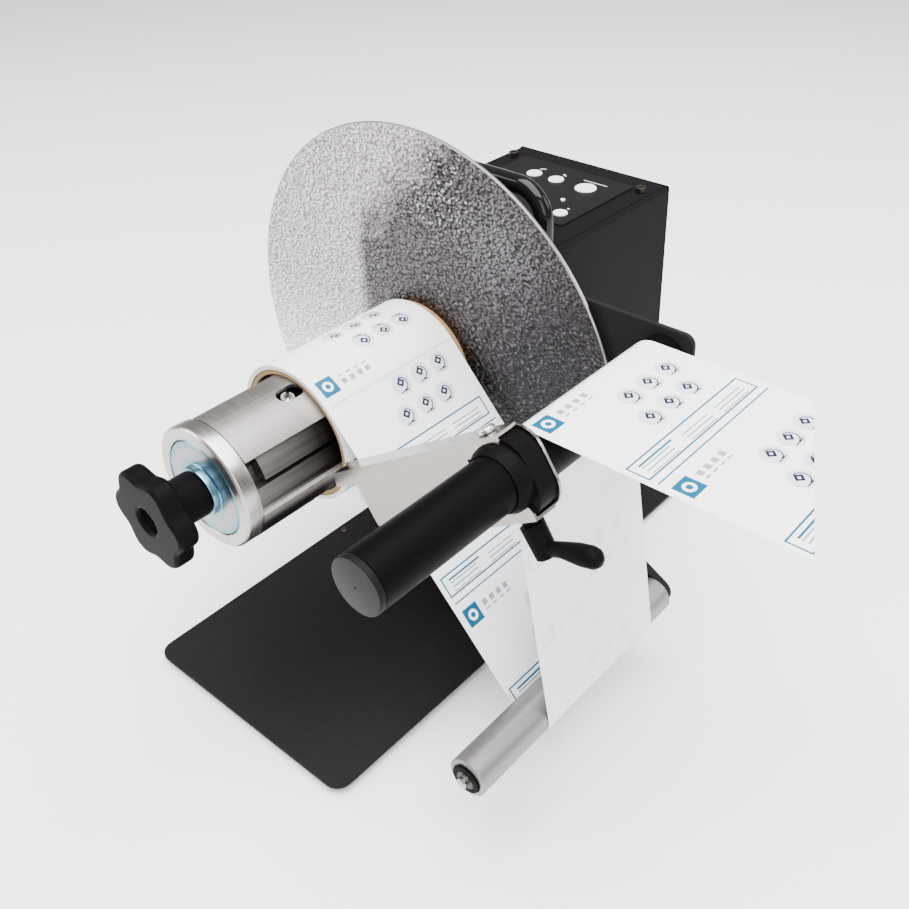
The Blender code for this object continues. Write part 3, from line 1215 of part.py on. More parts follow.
def across_bar(profile, place, depth, facets):
    """Turn a profile about a line square to the bracket's slope."""
    bm = turned(profile, (0.0, 0.0, 0.0), facets, "Z")
    lean = Matrix.Rotation(-math.radians(GUIDE_TILT), 4, "Y")
    bmesh.ops.transform(bm, matrix=lean, verts=bm.verts)
    bmesh.ops.translate(bm, verts=bm.verts, vec=tilted(place, 0.0, depth))
    return bm


def build_guide_fixings(block_front, block_back):
    depth = (block_front + block_back) / 2.0
    bracket = bpy.data.objects["guide_bracket"]
    block = bpy.data.objects["clamp_block"]
    centre = (TUBE_X, 0.0, TUBE_Z)
    seat = GUIDE_TOP + SEAT
    screw_low = GUIDE_TOP - GUIDE_SCREW_LENGTH
    hole = GUIDE_SCREW_RADIUS + SEAT
    for target, floor in ((bracket, screw_low), (block, screw_low - SEAT)):
        cut(target, across_bar(rod_profile(hole, floor, GUIDE_TOP + OVERRUN), GUIDE_SCREW_PLACE, depth, 12))
    crown = seat + GUIDE_SCREW_HEIGHT
    soft = GUIDE_SCREW_HEIGHT / 3.0
    profile = [(0.0, screw_low), (GUIDE_SCREW_RADIUS, screw_low), (GUIDE_SCREW_RADIUS, seat),
               (GUIDE_SCREW_HEAD, seat), (GUIDE_SCREW_HEAD, crown - soft),
               (GUIDE_SCREW_HEAD - soft, crown), (0.0, crown)]
    finished("bracket_screw", across_bar(profile, GUIDE_SCREW_PLACE, depth, 12), steel(), centre)
    # Clamp lever: stud up into the block, slanted hub and a finger arm
    hole = LEVER_STUD_RADIUS + SEAT
    tip = GUIDE_BOTTOM + LEVER_STUD_IN
    for target in (bracket, block):
        cut(target, across_bar(rod_profile(hole, GUIDE_BOTTOM - OVERRUN, tip + SEAT), LEVER_PLACE, depth, 12))
    under = LEVER_HUB_TOP - LEVER_HUB_LENGTH
    waist = LEVER_HUB_RADIUS * LEVER_WAIST
    collar = GUIDE_BOTTOM - SEAT
    profile = [(0.0, under), (waist - BUTTON_ROUND, under), (waist, under + BUTTON_ROUND),
               (LEVER_HUB_RADIUS, LEVER_HUB_TOP), (LEVER_COLLAR_RADIUS, LEVER_HUB_TOP),
               (LEVER_COLLAR_RADIUS, collar), (LEVER_STUD_RADIUS, collar),
               (LEVER_STUD_RADIUS, tip), (0.0, tip)]
    pivot = tilted(LEVER_PLACE, LEVER_HUB_TOP, depth)
    lever = finished("clamp_lever", across_bar(profile, LEVER_PLACE, depth, 24), plastic_black(), pivot)
    bm = bmesh.new()
    rings = []
    sides = FINE // 2
    middle = LEVER_HUB_TOP - LEVER_HUB_LENGTH * LEVER_ROOT
    for share, radius, drop_share in LEVER_SHAPE:
        ring = []
        for step in range(sides):
            angle = 2.0 * math.pi * step / sides
            along = LEVER_PLACE + LEVER_ARM * share
            across = middle - LEVER_ARM_DROP * drop_share + radius * math.sin(angle)
            ring.append(bm.verts.new(tilted(along, across, depth + radius * math.cos(angle))))
        rings.append(ring)
    for one, two in zip(rings, rings[1:]):
        for step in range(sides):
            after = (step + 1) % sides
            bm.faces.new((one[step], one[after], two[after], two[step]))
    bm.faces.new(rings[0])
    bm.faces.new(rings[-1])
    cut(lever, bm, "UNION")


# Rear power inlet and rocker switch
def bezel_outline(margin):
    """Switch outline in the back panel, shrunk by a margin."""
    return rounded_rectangle(SWITCH_X - BEZEL_HALF_WIDTH + margin, SWITCH_X + BEZEL_HALF_WIDTH - margin,
                             ROCKER_HEIGHT - BEZEL_HALF_HEIGHT + margin,
                             ROCKER_HEIGHT + BEZEL_HALF_HEIGHT - margin, BEZEL_WALL / 2.0, 2)


def build_rear():
    face = PANEL_BACK + SEAT
    outer = face + INLET_FLANGE
    inside = PANEL_BACK - INLET_LENGTH
    floor = inside + INLET_FLANGE
    profile = [(0.0, inside), (INLET_RADIUS, inside), (INLET_RADIUS, face), (INLET_FLANGE_RADIUS, face),
               (INLET_FLANGE_RADIUS, outer), (INLET_BORE, outer), (INLET_BORE, floor),
               (INLET_PIN_RADIUS, floor), (INLET_PIN_RADIUS, PANEL_BACK), (0.0, PANEL_BACK)]
    finished("power_inlet", turned(profile, (INLET_X, 0.0, INLET_HEIGHT), COARSE), plastic_black())
    body = bezel_outline(BEZEL_WALL / 2.0 + SEAT)
    back = PANEL_BACK - BEZEL_LENGTH
    frame = finished("switch_housing", prism(body, back, face + BEZEL_WALL / 2.0, upright), plastic_black())
    cut(frame, prism(bezel_outline(-BEZEL_WALL / 2.0), face, face + BEZEL_FLANGE, upright), "UNION")
    pocket = face + BEZEL_FLANGE - ROCKER_THICKNESS - 2.0 * BEZEL_WALL
    cut(frame, prism(bezel_outline(BEZEL_WALL + SEAT), pocket, face + OVERRUN, upright))
    half = BEZEL_HALF_HEIGHT - 2.0 * BEZEL_WALL - SEAT
    wide = BEZEL_HALF_WIDTH - BEZEL_WALL - 2.0 * SEAT
    hinge_y = face + BEZEL_FLANGE - ROCKER_THICKNESS / 2.0
    crest = ROCKER_THICKNESS / 2.0
    lean = math.radians(ROCKER_ANGLE)
    shape = [(-half, -crest / 2.0), (0.0, -crest), (half, -crest / 2.0), (half, crest),
             (0.0, crest / 2.0), (-half, crest)]
    places = [(y * math.cos(lean) + z * math.sin(lean), z * math.cos(lean) - y * math.sin(lean))
              for z, y in shape]

    def sideways(depth, height, across):
        return (SWITCH_X + across, hinge_y + depth, ROCKER_HEIGHT + height)

    finished("power_rocker", prism(places, -wide, wide, sideways), plastic_black(),
             (SWITCH_X, hinge_y, ROCKER_HEIGHT))


# The frame that the finished machine stands in
def stand_on_bench():
    """Move all pieces so that the origin is on the bench, mid-box."""
    middle_x = (WEB_END_FRONT - FLANGE_RADIUS) / 2.0
    middle_y = (TUBE_FRONT + BASE_BACK) / 2.0
    bench = -SEAT - FOOT_HEIGHT
    for piece in bpy.context.scene.objects:
        piece.location -= Vector((middle_x, middle_y, bench))


clear_scene()
build_base()
build_face_plate()
build_cabinet()
build_handle()
build_controls()
build_bearings()
build_spindle()
build_drive()
build_motor()
build_chuck_body()
build_jaws()
build_clamp_head()
build_roll()
build_web()
build_tube()
build_arm()
build_roller()
build_guide_fixings(*build_guide())
build_rear()
stand_on_bench()
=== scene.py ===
import math

import bmesh
import bpy
from mathutils import Matrix, Vector


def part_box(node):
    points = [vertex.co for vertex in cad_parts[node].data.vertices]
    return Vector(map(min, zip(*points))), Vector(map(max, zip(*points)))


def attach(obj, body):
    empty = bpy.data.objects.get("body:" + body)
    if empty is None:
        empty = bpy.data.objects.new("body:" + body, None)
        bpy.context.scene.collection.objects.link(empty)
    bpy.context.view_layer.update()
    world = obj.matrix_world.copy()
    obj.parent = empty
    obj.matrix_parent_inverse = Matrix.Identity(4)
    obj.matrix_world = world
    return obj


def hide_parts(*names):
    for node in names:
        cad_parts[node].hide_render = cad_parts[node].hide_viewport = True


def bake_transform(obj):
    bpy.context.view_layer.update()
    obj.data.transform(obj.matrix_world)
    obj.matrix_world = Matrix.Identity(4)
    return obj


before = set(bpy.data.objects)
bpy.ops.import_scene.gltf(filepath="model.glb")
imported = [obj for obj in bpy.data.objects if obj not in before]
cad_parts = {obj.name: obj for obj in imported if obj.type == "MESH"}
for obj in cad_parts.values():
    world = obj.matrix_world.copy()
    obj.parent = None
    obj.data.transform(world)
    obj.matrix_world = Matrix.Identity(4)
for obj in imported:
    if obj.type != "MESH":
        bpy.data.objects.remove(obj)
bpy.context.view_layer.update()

MM = 0.001


# Studio. The machine stands on a pale table under broad soft lamps, seen
# from the front right and above. The room behind is dim, so that black
# coats stay deep and the metal has something dark to mirror.
def place_camera():
    """The camera that was fitted to the picture's lines and rounds."""
    stand = Vector((334.85 * MM, -387.8 * MM, 514.7 * MM))
    yaw, pitch, roll = (math.radians(angle) for angle in (40.066, 36.067, -1.0086))
    ahead = Vector((-math.sin(yaw) * math.cos(pitch), math.cos(yaw) * math.cos(pitch), -math.sin(pitch)))
    level = Vector((math.cos(yaw), math.sin(yaw), 0.0))
    above = level.cross(ahead)
    across = level * math.cos(roll) + above * math.sin(roll)
    upward = above * math.cos(roll) - level * math.sin(roll)
    lens = bpy.data.cameras.new("studio_camera")
    lens.lens = 40.777
    lens.sensor_width = 36.0
    lens.shift_x = -0.0668
    lens.shift_y = -0.0056
    lens.clip_start = 10.0 * MM
    camera = bpy.data.objects.new("studio_camera", lens)
    turn = Matrix((across, upward, -ahead)).transposed()
    camera.matrix_world = Matrix.Translation(stand) @ turn.to_4x4()
    bpy.context.scene.collection.objects.link(camera)
    bpy.context.scene.camera = camera


def lamp(name, place, size, power):
    """A soft rectangular lamp aimed at the middle of the machine."""
    light = bpy.data.lights.new(name, "AREA")
    light.shape = "RECTANGLE"
    light.size, light.size_y = size
    light.energy = power
    holder = bpy.data.objects.new(name, light)
    aim = machine_middle - Vector(place)
    holder.matrix_world = Matrix.Translation(place) @ aim.to_track_quat("-Z", "Y").to_matrix().to_4x4()
    bpy.context.scene.collection.objects.link(holder)


machine_middle = Vector((0.0, 0.0, 0.12))
place_camera()
lamp("lamp_overhead", (0.25, -0.1, 1.9), (2.0, 2.0), 170.0)
lamp("lamp_left_front", (-1.5, -1.1, 1.0), (1.0, 1.3), 34.0)
lamp("lamp_right_front", (1.5, -0.9, 0.9), (0.9, 1.2), 20.0)
lamp("lamp_rear_right", (1.2, 1.3, 1.0), (1.0, 0.8), 14.0)

room = bpy.data.worlds.new("pale_room")
room.use_nodes = True
room.node_tree.nodes["Background"].inputs["Color"].default_value = (1.0, 1.0, 1.0, 1.0)
room.node_tree.nodes["Background"].inputs["Strength"].default_value = 0.45
bpy.context.scene.world = room

table_size = 14.0
table_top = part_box("foot_front_left")[0][2]
bpy.ops.object.select_all(action="DESELECT")
bpy.ops.mesh.primitive_grid_add(x_subdivisions=8, y_subdivisions=8, size=table_size,
                                location=(0.0, 0.0, table_top))
table = bpy.context.object
table.name = "table"
table_paint = bpy.data.materials.new("pale_table")
table_paint.use_nodes = True
table_paint.node_tree.nodes["Principled BSDF"].inputs["Base Color"].default_value = (0.93, 0.93, 0.93, 1.0)
table_paint.node_tree.nodes["Principled BSDF"].inputs["Roughness"].default_value = 0.8
table.data.materials.append(table_paint)


# Base plate. A 3 mm steel sheet with round corners, powder-coated in fine
# satin black, as are the folded face plate, cover and back panel that
# stand on it. The CAD sheets keep their true shape and get the coat.
class Wire:
    """A shader socket that adds, scales and compares like a number."""

    def __init__(self, tree, socket):
        self.tree = tree
        self.socket = socket

    def math(self, operation, *others):
        """Add a maths node with this wire in its first slot."""
        made = self.tree.nodes.new("ShaderNodeMath")
        made.operation = operation
        for slot, value in zip(made.inputs, (self,) + others):
            plug(self.tree, slot, value)
        return Wire(self.tree, made.outputs[0])

    def __add__(self, other):
        return self.math("ADD", other)

    __radd__ = __add__

    def __sub__(self, other):
        return self.math("SUBTRACT", other)

    def __rsub__(self, other):
        return self.math("MULTIPLY", -1.0).math("ADD", other)

    def __mul__(self, other):
        return self.math("MULTIPLY", other)

    def __truediv__(self, other):
        return self.math("DIVIDE", other)

    def __mod__(self, other):
        return self.math("FLOORED_MODULO", other)

    def __lt__(self, other):
        return self.math("LESS_THAN", other)

    def __gt__(self, other):
        return self.math("GREATER_THAN", other)

    def __or__(self, other):
        return self.math("MAXIMUM", other)

    def __abs__(self):
        return self.math("ABSOLUTE")

    def ripple(self):
        """A wave between 0 and 1."""
        return self.math("SINE") * 0.5 + 0.5

    def root(self):
        return self.math("SQRT")

    def clamp(self):
        return self.math("MAXIMUM", 0.0).math("MINIMUM", 1.0)


def plug(tree, slot, value):
    """Link a wire to a node's slot, or set the slot to a constant."""
    if isinstance(value, Wire):
        tree.links.new(value.socket, slot)
    elif isinstance(value, tuple) and len(value) == 3 and len(slot.default_value) == 4:
        slot.default_value = (*value, 1.0)
    else:
        slot.default_value = value


class Finish:
    """One material, with short ways to add the nodes that vary it."""

    def __init__(self, name, colour, roughness, metallic=0.0, **constants):
        self.material = bpy.data.materials.new(name)
        self.material.use_nodes = True
        self.material.diffuse_color = (*colour, 1.0)
        self.tree = self.material.node_tree
        self.shader = self.tree.nodes["Principled BSDF"]
        self.feed("Base Color", colour)
        self.feed("Roughness", roughness)
        self.feed("Metallic", metallic)
        for socket, value in constants.items():
            self.feed(socket.replace("_", " "), value)

    def feed(self, socket, value):
        """Link or set a socket of the material's shader."""
        plug(self.tree, self.shader.inputs[socket], value)

    def node(self, kind, settings=None, output=0, **sockets):
        """Add a node, its sockets given by name, or by number as _0, _1."""
        made = self.tree.nodes.new("ShaderNode" + kind)
        for setting, value in (settings or {}).items():
            setattr(made, setting, value)
        for socket, value in sockets.items():
            place = int(socket[1:]) if socket[0] == "_" else socket.replace("_", " ")
            plug(self.tree, made.inputs[place], value)
        return Wire(self.tree, made.outputs[output])

    def place(self):
        """The object's own coordinates."""
        return self.node("TexCoord", output=3)

    def axes(self, vector=None):
        """X, Y and Z of a vector, or of the object's coordinates."""
        split = self.node("SeparateXYZ", _0=vector or self.place())
        return [Wire(self.tree, socket) for socket in split.socket.node.outputs]

    def noise(self, scale, detail=2.0, vector=None):
        return self.node("TexNoise", Vector=vector or self.place(), Scale=scale, Detail=detail)

    def stretched(self, across, along, up):
        """Coordinates scaled by axis, for marks drawn out one way."""
        return self.node("Mapping", Vector=self.place(), Scale=(across, along, up))

    def mix(self, mask, one, two):
        """Go from one colour to the other as the mask goes from 0 to 1."""
        return self.node("Mix", {"data_type": "RGBA"}, 2, _0=mask, _6=one, _7=two)

    def bump(self, height, depth, strength=1.0):
        """A normal from a height between 0 and 1 and its real depth."""
        return self.node("Bump", Height=height, Distance=depth, Strength=strength)

    def vary(self, pattern, colours=None, roughness=None, relief=None):
        """Let a pattern blend two colours, add (least, span) of roughness
        and raise the surface by (depth, strength)."""
        if colours:
            self.feed("Base Color", self.mix(pattern, *colours))
        if roughness:
            self.feed("Roughness", roughness[0] + pattern * roughness[1])
        if relief:
            self.feed("Normal", self.bump(pattern, *relief))


def dress(finish, *nodes):
    """Give CAD nodes a finish in place of their plain one."""
    for name in nodes:
        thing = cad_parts[name]
        thing.data.materials.clear()
        thing.data.materials.append(finish.material)


def black_coat(name, low, high, seam=None):
    """Fine satin powder coat; a seam is a dark line of (place in X, low Z)."""
    coat = Finish(name, (0.006, 0.0056, 0.0056), 0.5, Specular_IOR_Level=0.02)
    grain = coat.noise(1400.0)
    cloud = coat.noise(22.0, 3.0)
    colour = coat.mix(grain, low, high)
    if seam:
        seam_x, seam_low = seam
        seam_half = 0.35 * MM
        cx, cz = coat.axes()[::2]
        on_seam = (abs(cx - seam_x) < seam_half) * (cz > seam_low)
        colour = coat.mix(on_seam, colour, (0.0015, 0.0015, 0.0015))
    coat.feed("Base Color", colour)
    coat.feed("Roughness", 0.42 + cloud * 0.12 + grain * 0.06)
    coat.vary(grain, relief=(0.06 * MM, 0.8))
    return coat


# The base plate, face plate and arm share a lighter copy of the coat than the cover's: painted light, so the
# base's upward face reads brighter.
lit_powder_coat = black_coat("satin_powder_coat", (0.0062, 0.0057, 0.006), (0.0185, 0.0168, 0.0176))
dress(lit_powder_coat, "base_plate", "face_plate", "tension_arm")

bench_rubber = Finish("foot_rubber", (0.01, 0.01, 0.01), 0.85, Specular_IOR_Level=0.2)
bench_rubber.vary(bench_rubber.noise(900.0, 3.0), colours=((0.006, 0.006, 0.006), (0.02, 0.02, 0.02)),
                  relief=(0.08 * MM, 0.6))
dress(bench_rubber, "foot_front_left", "foot_front_right", "foot_rear_left", "foot_rear_right", "drive_belt")


# Winding flange. A 2 mm aluminium disc cut from stucco-embossed sheet: a
# leathery net of soft bumps that breaks up every reflection. Its rim is
# turned and its bore is clamped between the chuck and the hub. The studio's
# reflection is painted into its front face's colour: pale at the left and
# upper left, dim over the rest.
def trace(points, closed=False):
    """Draw a line of vertices through points, left in edit mode."""
    bpy.ops.object.select_all(action="DESELECT")
    bpy.ops.mesh.primitive_plane_add(size=MM, location=points[0])
    bpy.ops.object.mode_set(mode="EDIT")
    bpy.ops.mesh.select_mode(type="VERT")
    bpy.ops.mesh.select_all(action="SELECT")
    bpy.ops.mesh.merge(type="CENTER")
    stops = list(points) + ([points[0]] if closed else [])
    for here, there in zip(stops, stops[1:]):
        step = [b - a for a, b in zip(here, there)]
        bpy.ops.mesh.extrude_vertices_move(TRANSFORM_OT_translate={"value": step})
    bpy.ops.mesh.select_all(action="SELECT")
    if closed:
        bpy.ops.mesh.remove_doubles(threshold=0.001 * MM)


def picked(piece):
    """Select one piece alone and make it the active one."""
    bpy.ops.object.select_all(action="DESELECT")
    piece.select_set(True)
    bpy.context.view_layer.objects.active = piece
    return piece


def smoothed(piece, angle=35.0):
    """Shade a piece smooth, but for edges sharper than an angle."""
    picked(piece)
    bpy.ops.object.shade_smooth_by_angle(angle=math.radians(angle))
    return piece


def settle(name, finish, smooth=35.0):
    """Leave edit mode with faces outwards and the place in the mesh."""
    bpy.ops.mesh.select_all(action="SELECT")
    bpy.ops.mesh.remove_doubles(threshold=0.002 * MM)
    bpy.ops.mesh.normals_make_consistent(inside=False)
    bpy.ops.object.mode_set(mode="OBJECT")
    piece = bpy.context.object
    piece.name = name
    piece.data.name = name
    bpy.ops.object.transform_apply(location=True, rotation=True, scale=True)
    smoothed(piece, smooth)
    piece.data.materials.clear()
    piece.data.materials.append(finish.material)
    return piece


def lathe(name, finish, profile, centre, turns=96):
    """Spin a profile of (radius, place) about a line along Y."""
    x, z = centre
    hollow = min(radius for radius, place in profile) > 0.0
    trace([(x + radius, place, z) for radius, place in profile], closed=hollow)
    bpy.ops.mesh.spin(steps=turns, angle=2.0 * math.pi, center=(x, 0.0, z), axis=(0.0, 1.0, 0.0))
    return settle(name, finish)


def midpoint(low, high):
    """Middle of a box from its two corners."""
    return [(a + b) / 2.0 for a, b in zip(low, high)]


def half_width(low, high):
    """Radius of a round piece from the corners of its box."""
    return (high[0] - low[0]) / 2.0


def apart(across, up, centre=(0.0, 0.0)):
    """Distance of two coordinate wires from a centre."""
    across = across - centre[0]
    up = up - centre[1]
    return (across * across + up * up).root()


disc_low, disc_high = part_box("winding_flange")
disc_radius = half_width(disc_low, disc_high)
spindle_line = midpoint(disc_low, disc_high)[::2]
spindle_x, spindle_z = spindle_line

# The stucco: rounded pebbles in a swaying net, with painted light that makes each pebble brighter on one
# flank.
stucco = Finish("stucco_aluminium", (0.36, 0.35, 0.35), 0.25, 1.0)
spot = stucco.place()
sway = stucco.node("TexNoise", output=1, Vector=spot, Scale=150.0, Detail=3.0)
waved = stucco.node("VectorMath", {"operation": "ADD"}, _0=spot,
                    _1=stucco.node("VectorMath", {"operation": "SCALE"}, _0=sway, Scale=6.0 * MM))
grained = stucco.node("Mapping", Vector=waved, Rotation=(0.0, 0.5, 0.0), Scale=(390.0, 390.0, 560.0))
shifted = stucco.node("VectorMath", {"operation": "ADD"}, _0=grained, _1=(0.26, 0.0, -0.3))
pebble, beside = (stucco.node("TexVoronoi", {"feature": "SMOOTH_F1"}, Vector=net, Scale=1.0, Smoothness=0.35)
                  for net in (grained, shifted))
# Painted light: the step between two shifted nets lights one flank of each pebble and shades the other.
slope = beside - pebble
fold = stucco.noise(1.0, 3.0, grained)
pebble_tone_and_light = (slope * 2.1 + 0.56 - (pebble - 0.45) * 1.2 + (fold - 0.5) * 1.1).clamp()
# Painted glints on the pebble tops.
painted_glints = ((stucco.noise(0.9, 1.0, grained) - 0.52) * 7.0).clamp() * pebble_tone_and_light

# Fields of the studio's reflection, painted into the front face's colour, in millimetres from the spindle.
sx, sy, sz = stucco.axes(spot)
right = (sx - spindle_x) / MM
up = (sz - spindle_z) / MM
wander = stucco.noise(60.0, 3.0, spot) - 0.5


def field(centre, spread):
    """A round patch of painted reflection that fades out from its centre."""
    return (1.0 - apart(right, up, centre) / spread + wander).clamp()


# Painted reflection: a dim field over all but the left and upper left of the front face, with a darker patch
# and a sheen in it.
past_left = ((right + 56.0 + wander * 14.0) / 13.0).clamp()
past_slant = ((right - up + 144.0 + wander * 50.0) / 34.0).clamp()
painted_dim_reflection = past_left * past_slant
painted_dark_patch = field((24.0, 122.0), 40.0)
painted_sheen = field((66.0, 96.0), 36.0)
# Painted reflection: darker towards the lower right, brighter towards the lower left.
painted_dark_lower_right = ((right - up - 5.0) / 55.0).clamp()
painted_bright_lower_left = ((-40.0 - up) / 90.0 + 0.75).clamp()
# The pale painted reflection, at the left.
bright_tops = stucco.mix(painted_bright_lower_left, (0.6, 0.55, 0.56), (0.98, 0.91, 0.92))
bright_folds = stucco.mix(painted_bright_lower_left, (0.19, 0.172, 0.176), (0.46, 0.425, 0.43))
painted_bright_reflection = stucco.mix(pebble_tone_and_light, bright_folds, bright_tops)
# The dim painted reflection, with its sheen, darker lower right and glints.
grey_tops = stucco.mix(painted_sheen, (0.105, 0.095, 0.101), (0.18, 0.17, 0.182))
grey_tops = stucco.mix((painted_dark_lower_right - painted_sheen).clamp(), grey_tops, (0.046, 0.041, 0.044))
grey_tops = stucco.mix(painted_glints * (0.14 + painted_dark_patch * 0.86), grey_tops, (0.7, 0.66, 0.67))
grey_folds = stucco.mix(painted_dark_patch, (0.02, 0.018, 0.019), (0.003, 0.0027, 0.0028))
painted_grey_reflection = stucco.mix(pebble_tone_and_light, grey_folds, grey_tops)
# The rear face has no painted reflection fields, only the pebbles' painted flank light.
rear_side = stucco.mix(pebble_tone_and_light, (0.05, 0.046, 0.047), (0.36, 0.34, 0.345))
in_front = sy < disc_low[1] + 1.2 * MM
face = stucco.mix(in_front, rear_side, stucco.mix(painted_dim_reflection, painted_bright_reflection, painted_grey_reflection))
rim_width = 0.9
on_rim = apart(right, up) > disc_radius / MM - rim_width
stucco.feed("Base Color", stucco.mix(on_rim, face, (0.36, 0.33, 0.32)))
stucco.feed("Roughness", 0.24 + stucco.noise(60.0, 3.0, spot) * 0.12)
stucco.feed("Normal", stucco.bump((pebble * -0.9 + fold * 0.5) * (1.0 - on_rim), 0.9 * MM))

turned_rim = Finish("turned_aluminium", (0.52, 0.51, 0.5), 0.28, 1.0)
turned_rim.vary(turned_rim.noise(1.0, 3.0, turned_rim.stretched(60.0, 5200.0, 60.0)),
                colours=((0.32, 0.3, 0.29), (0.5, 0.47, 0.455)), roughness=(0.2, 0.16),
                relief=(0.02 * MM, 0.5))

disc_edge = 0.5 * MM
disc_bore = 8.3 * MM
disc = lathe("winding_flange_sheet", stucco,
             [(disc_bore, disc_low[1]), (disc_radius - disc_edge, disc_low[1]),
              (disc_radius, disc_low[1] + disc_edge), (disc_radius, disc_high[1] - disc_edge),
              (disc_radius - disc_edge, disc_high[1]), (disc_bore, disc_high[1])], spindle_line, 256)
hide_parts("winding_flange")
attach(disc, "spindle")
dress(turned_rim, "flange_hub", "driven_pulley", "drive_pulley", "bearing_housing")


# Expanding chuck. Three aluminium jaws, turned as one sleeve and sawn
# apart, each with a raised crown between two lower lands and a slot for
# its slotted guide screw. They spread to grip the bore of the core.
jaw_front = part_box("jaw_1")[0][1]
fade_length = 56.0 * MM
land_radius = 34.9 * MM
sleeve = Finish("chuck_aluminium", (0.4, 0.38, 0.37), 0.34, 1.0)
lines = sleeve.noise(1.0, 4.0, sleeve.stretched(90.0, 2600.0, 90.0))
streaks = sleeve.noise(1.0, 3.0, sleeve.stretched(520.0, 11.0, 520.0))
jx, jy, jz = sleeve.axes()
on_land = 1.0 - ((apart(jx, jz, spindle_line) - land_radius) / (0.6 * MM)).clamp()
depth = ((jy - jaw_front) / fade_length).clamp()
# Below the spindle the crown's colour goes near black: a painted reflection of the black base plate.
base_reflection_mask = ((spindle_z - jz - 9.0 * MM) / (6.0 * MM)).clamp()
crown_tone = sleeve.mix((lines * 1.3 - 0.15).clamp(), (0.15, 0.138, 0.132), (0.37, 0.345, 0.33))
crown_tone = sleeve.mix(base_reflection_mask, crown_tone, (0.022, 0.02, 0.019))
# The lands' colour darkens from front to back: a painted reflection.
land_front = sleeve.mix(streaks, (0.09, 0.083, 0.077), (0.26, 0.245, 0.23))
land_back_painted_dark = sleeve.mix(streaks, (0.006, 0.0055, 0.005), (0.035, 0.031, 0.028))
land_tone = sleeve.mix((depth * 1.15).clamp(), land_front, land_back_painted_dark)
sleeve.feed("Base Color", sleeve.mix(on_land, crown_tone, land_tone))
sleeve.feed("Roughness", 0.36 + lines * 0.14 + streaks * 0.06)
sleeve.vary(lines, relief=(0.035 * MM, 0.7))

# The chuck's core is coloured dark grey, so that the jaws' slots and windows read dark.
core_black = Finish("chuck_core_dark_grey", (0.05, 0.049, 0.048), 0.4, 0.6)
core_black.vary(core_black.noise(600.0, 3.0), colours=((0.055, 0.054, 0.052), (0.13, 0.127, 0.122)),
                roughness=(0.34, 0.2))
dress(core_black, "chuck_body")


def applied(piece, kind, **settings):
    """Add one modifier and apply it."""
    picked(piece)
    change = piece.modifiers.new("shape", kind)
    for setting, value in settings.items():
        setattr(change, setting, value)
    bpy.ops.object.modifier_apply(modifier=change.name)
    return piece


def evened(piece):
    """Let the broad faces rule the shading beside narrow edge faces."""
    return applied(smoothed(piece), "WEIGHTED_NORMAL", mode="FACE_AREA", weight=50, keep_sharp=True)


def eased(piece, width, segments=3, angle=35.0):
    """Round a piece's sharp edges."""
    applied(piece, "BEVEL", width=width, segments=segments, limit_method="ANGLE",
            angle_limit=math.radians(angle))
    return evened(piece)


def refined(node, name, finish, width, segments=3, dissolve=4.0):
    """A merged copy of a CAD node with its sharp edges rounded."""
    copy = bpy.data.objects.new(name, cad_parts[node].data.copy())
    bpy.context.scene.collection.objects.link(copy)
    copy.data.materials.clear()
    copy.data.materials.append(finish.material)
    picked(copy)
    bpy.ops.object.mode_set(mode="EDIT")
    bpy.ops.mesh.select_all(action="SELECT")
    bpy.ops.mesh.remove_doubles(threshold=0.005 * MM)
    bpy.ops.mesh.dissolve_limited(angle_limit=math.radians(dissolve))
    bpy.ops.object.mode_set(mode="OBJECT")
    eased(copy, width, segments, 40.0)
    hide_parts(node)
    return copy


def slab(name, finish, outline, depth_from, depth_to, smooth=35.0):
    """Fill an outline in X and Z and pull it along Y."""
    trace([(x, depth_from, z) for x, z in outline], closed=True)
    bpy.ops.mesh.edge_face_add()
    bpy.ops.mesh.extrude_region_move(TRANSFORM_OT_translate={"value": (0.0, depth_to - depth_from, 0.0)})
    return settle(name, finish, smooth)


def trimmed(piece, tool):
    """Cut one piece by another, which is then thrown away."""
    applied(piece, "BOOLEAN", operation="DIFFERENCE", object=tool, solver="EXACT")
    bpy.data.objects.remove(tool, do_unlink=True)
    return piece


def outward(turn, place, spin=0.0):
    """The stand of a part that points out of the spindle at an angle."""
    inward = Vector((-math.cos(math.radians(turn)), 0.0, -math.sin(math.radians(turn))))
    along = Vector((0.0, 1.0, 0.0))
    stand = Matrix((inward.cross(along), inward, along)).transposed()
    stand = stand @ Matrix.Rotation(math.radians(spin), 3, "Y")
    return Matrix.Translation((spindle_x, place, spindle_z)) @ stand.to_4x4()


jaw_middles = (75.0, 195.0, 315.0)
slot_front = jaw_front + 40.2 * MM
slot_length = 17.0 * MM
slot_end = 5.1 * MM
slot_reach = (-50.0 * MM, -20.0 * MM)
jaw_edge = 0.35 * MM
slot_outline = [(slot_end * math.cos(turn), slot_length / 2.0 - slot_end + slot_end * math.sin(turn))
                for turn in (math.pi * step / 16 for step in range(17))]
slot_outline += [(-x, -z) for x, z in slot_outline]
for number, (body, middle) in enumerate(zip(("jaw_one", "jaw_two", "jaw_three"), jaw_middles), 1):
    jaw = refined("jaw_%d" % number, "chuck_jaw_%d" % number, sleeve, jaw_edge, 2, 1.0)
    slot_tool = slab("slot_tool", sleeve, slot_outline, *slot_reach)
    slot_tool.data.transform(outward(middle, slot_front + slot_length / 2.0))
    evened(trimmed(jaw, slot_tool))
    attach(jaw, body)


# Guide screws of the jaws. Bright slotted cheese heads, one in each slot,
# turned into the chuck's core, so that a jaw slides but can't fall off.
bright = Finish("bright_steel", (0.66, 0.65, 0.63), 0.25, 1.0)
bright.vary(bright.noise(700.0, 3.0), roughness=(0.2, 0.15), relief=(0.01 * MM, 0.4))

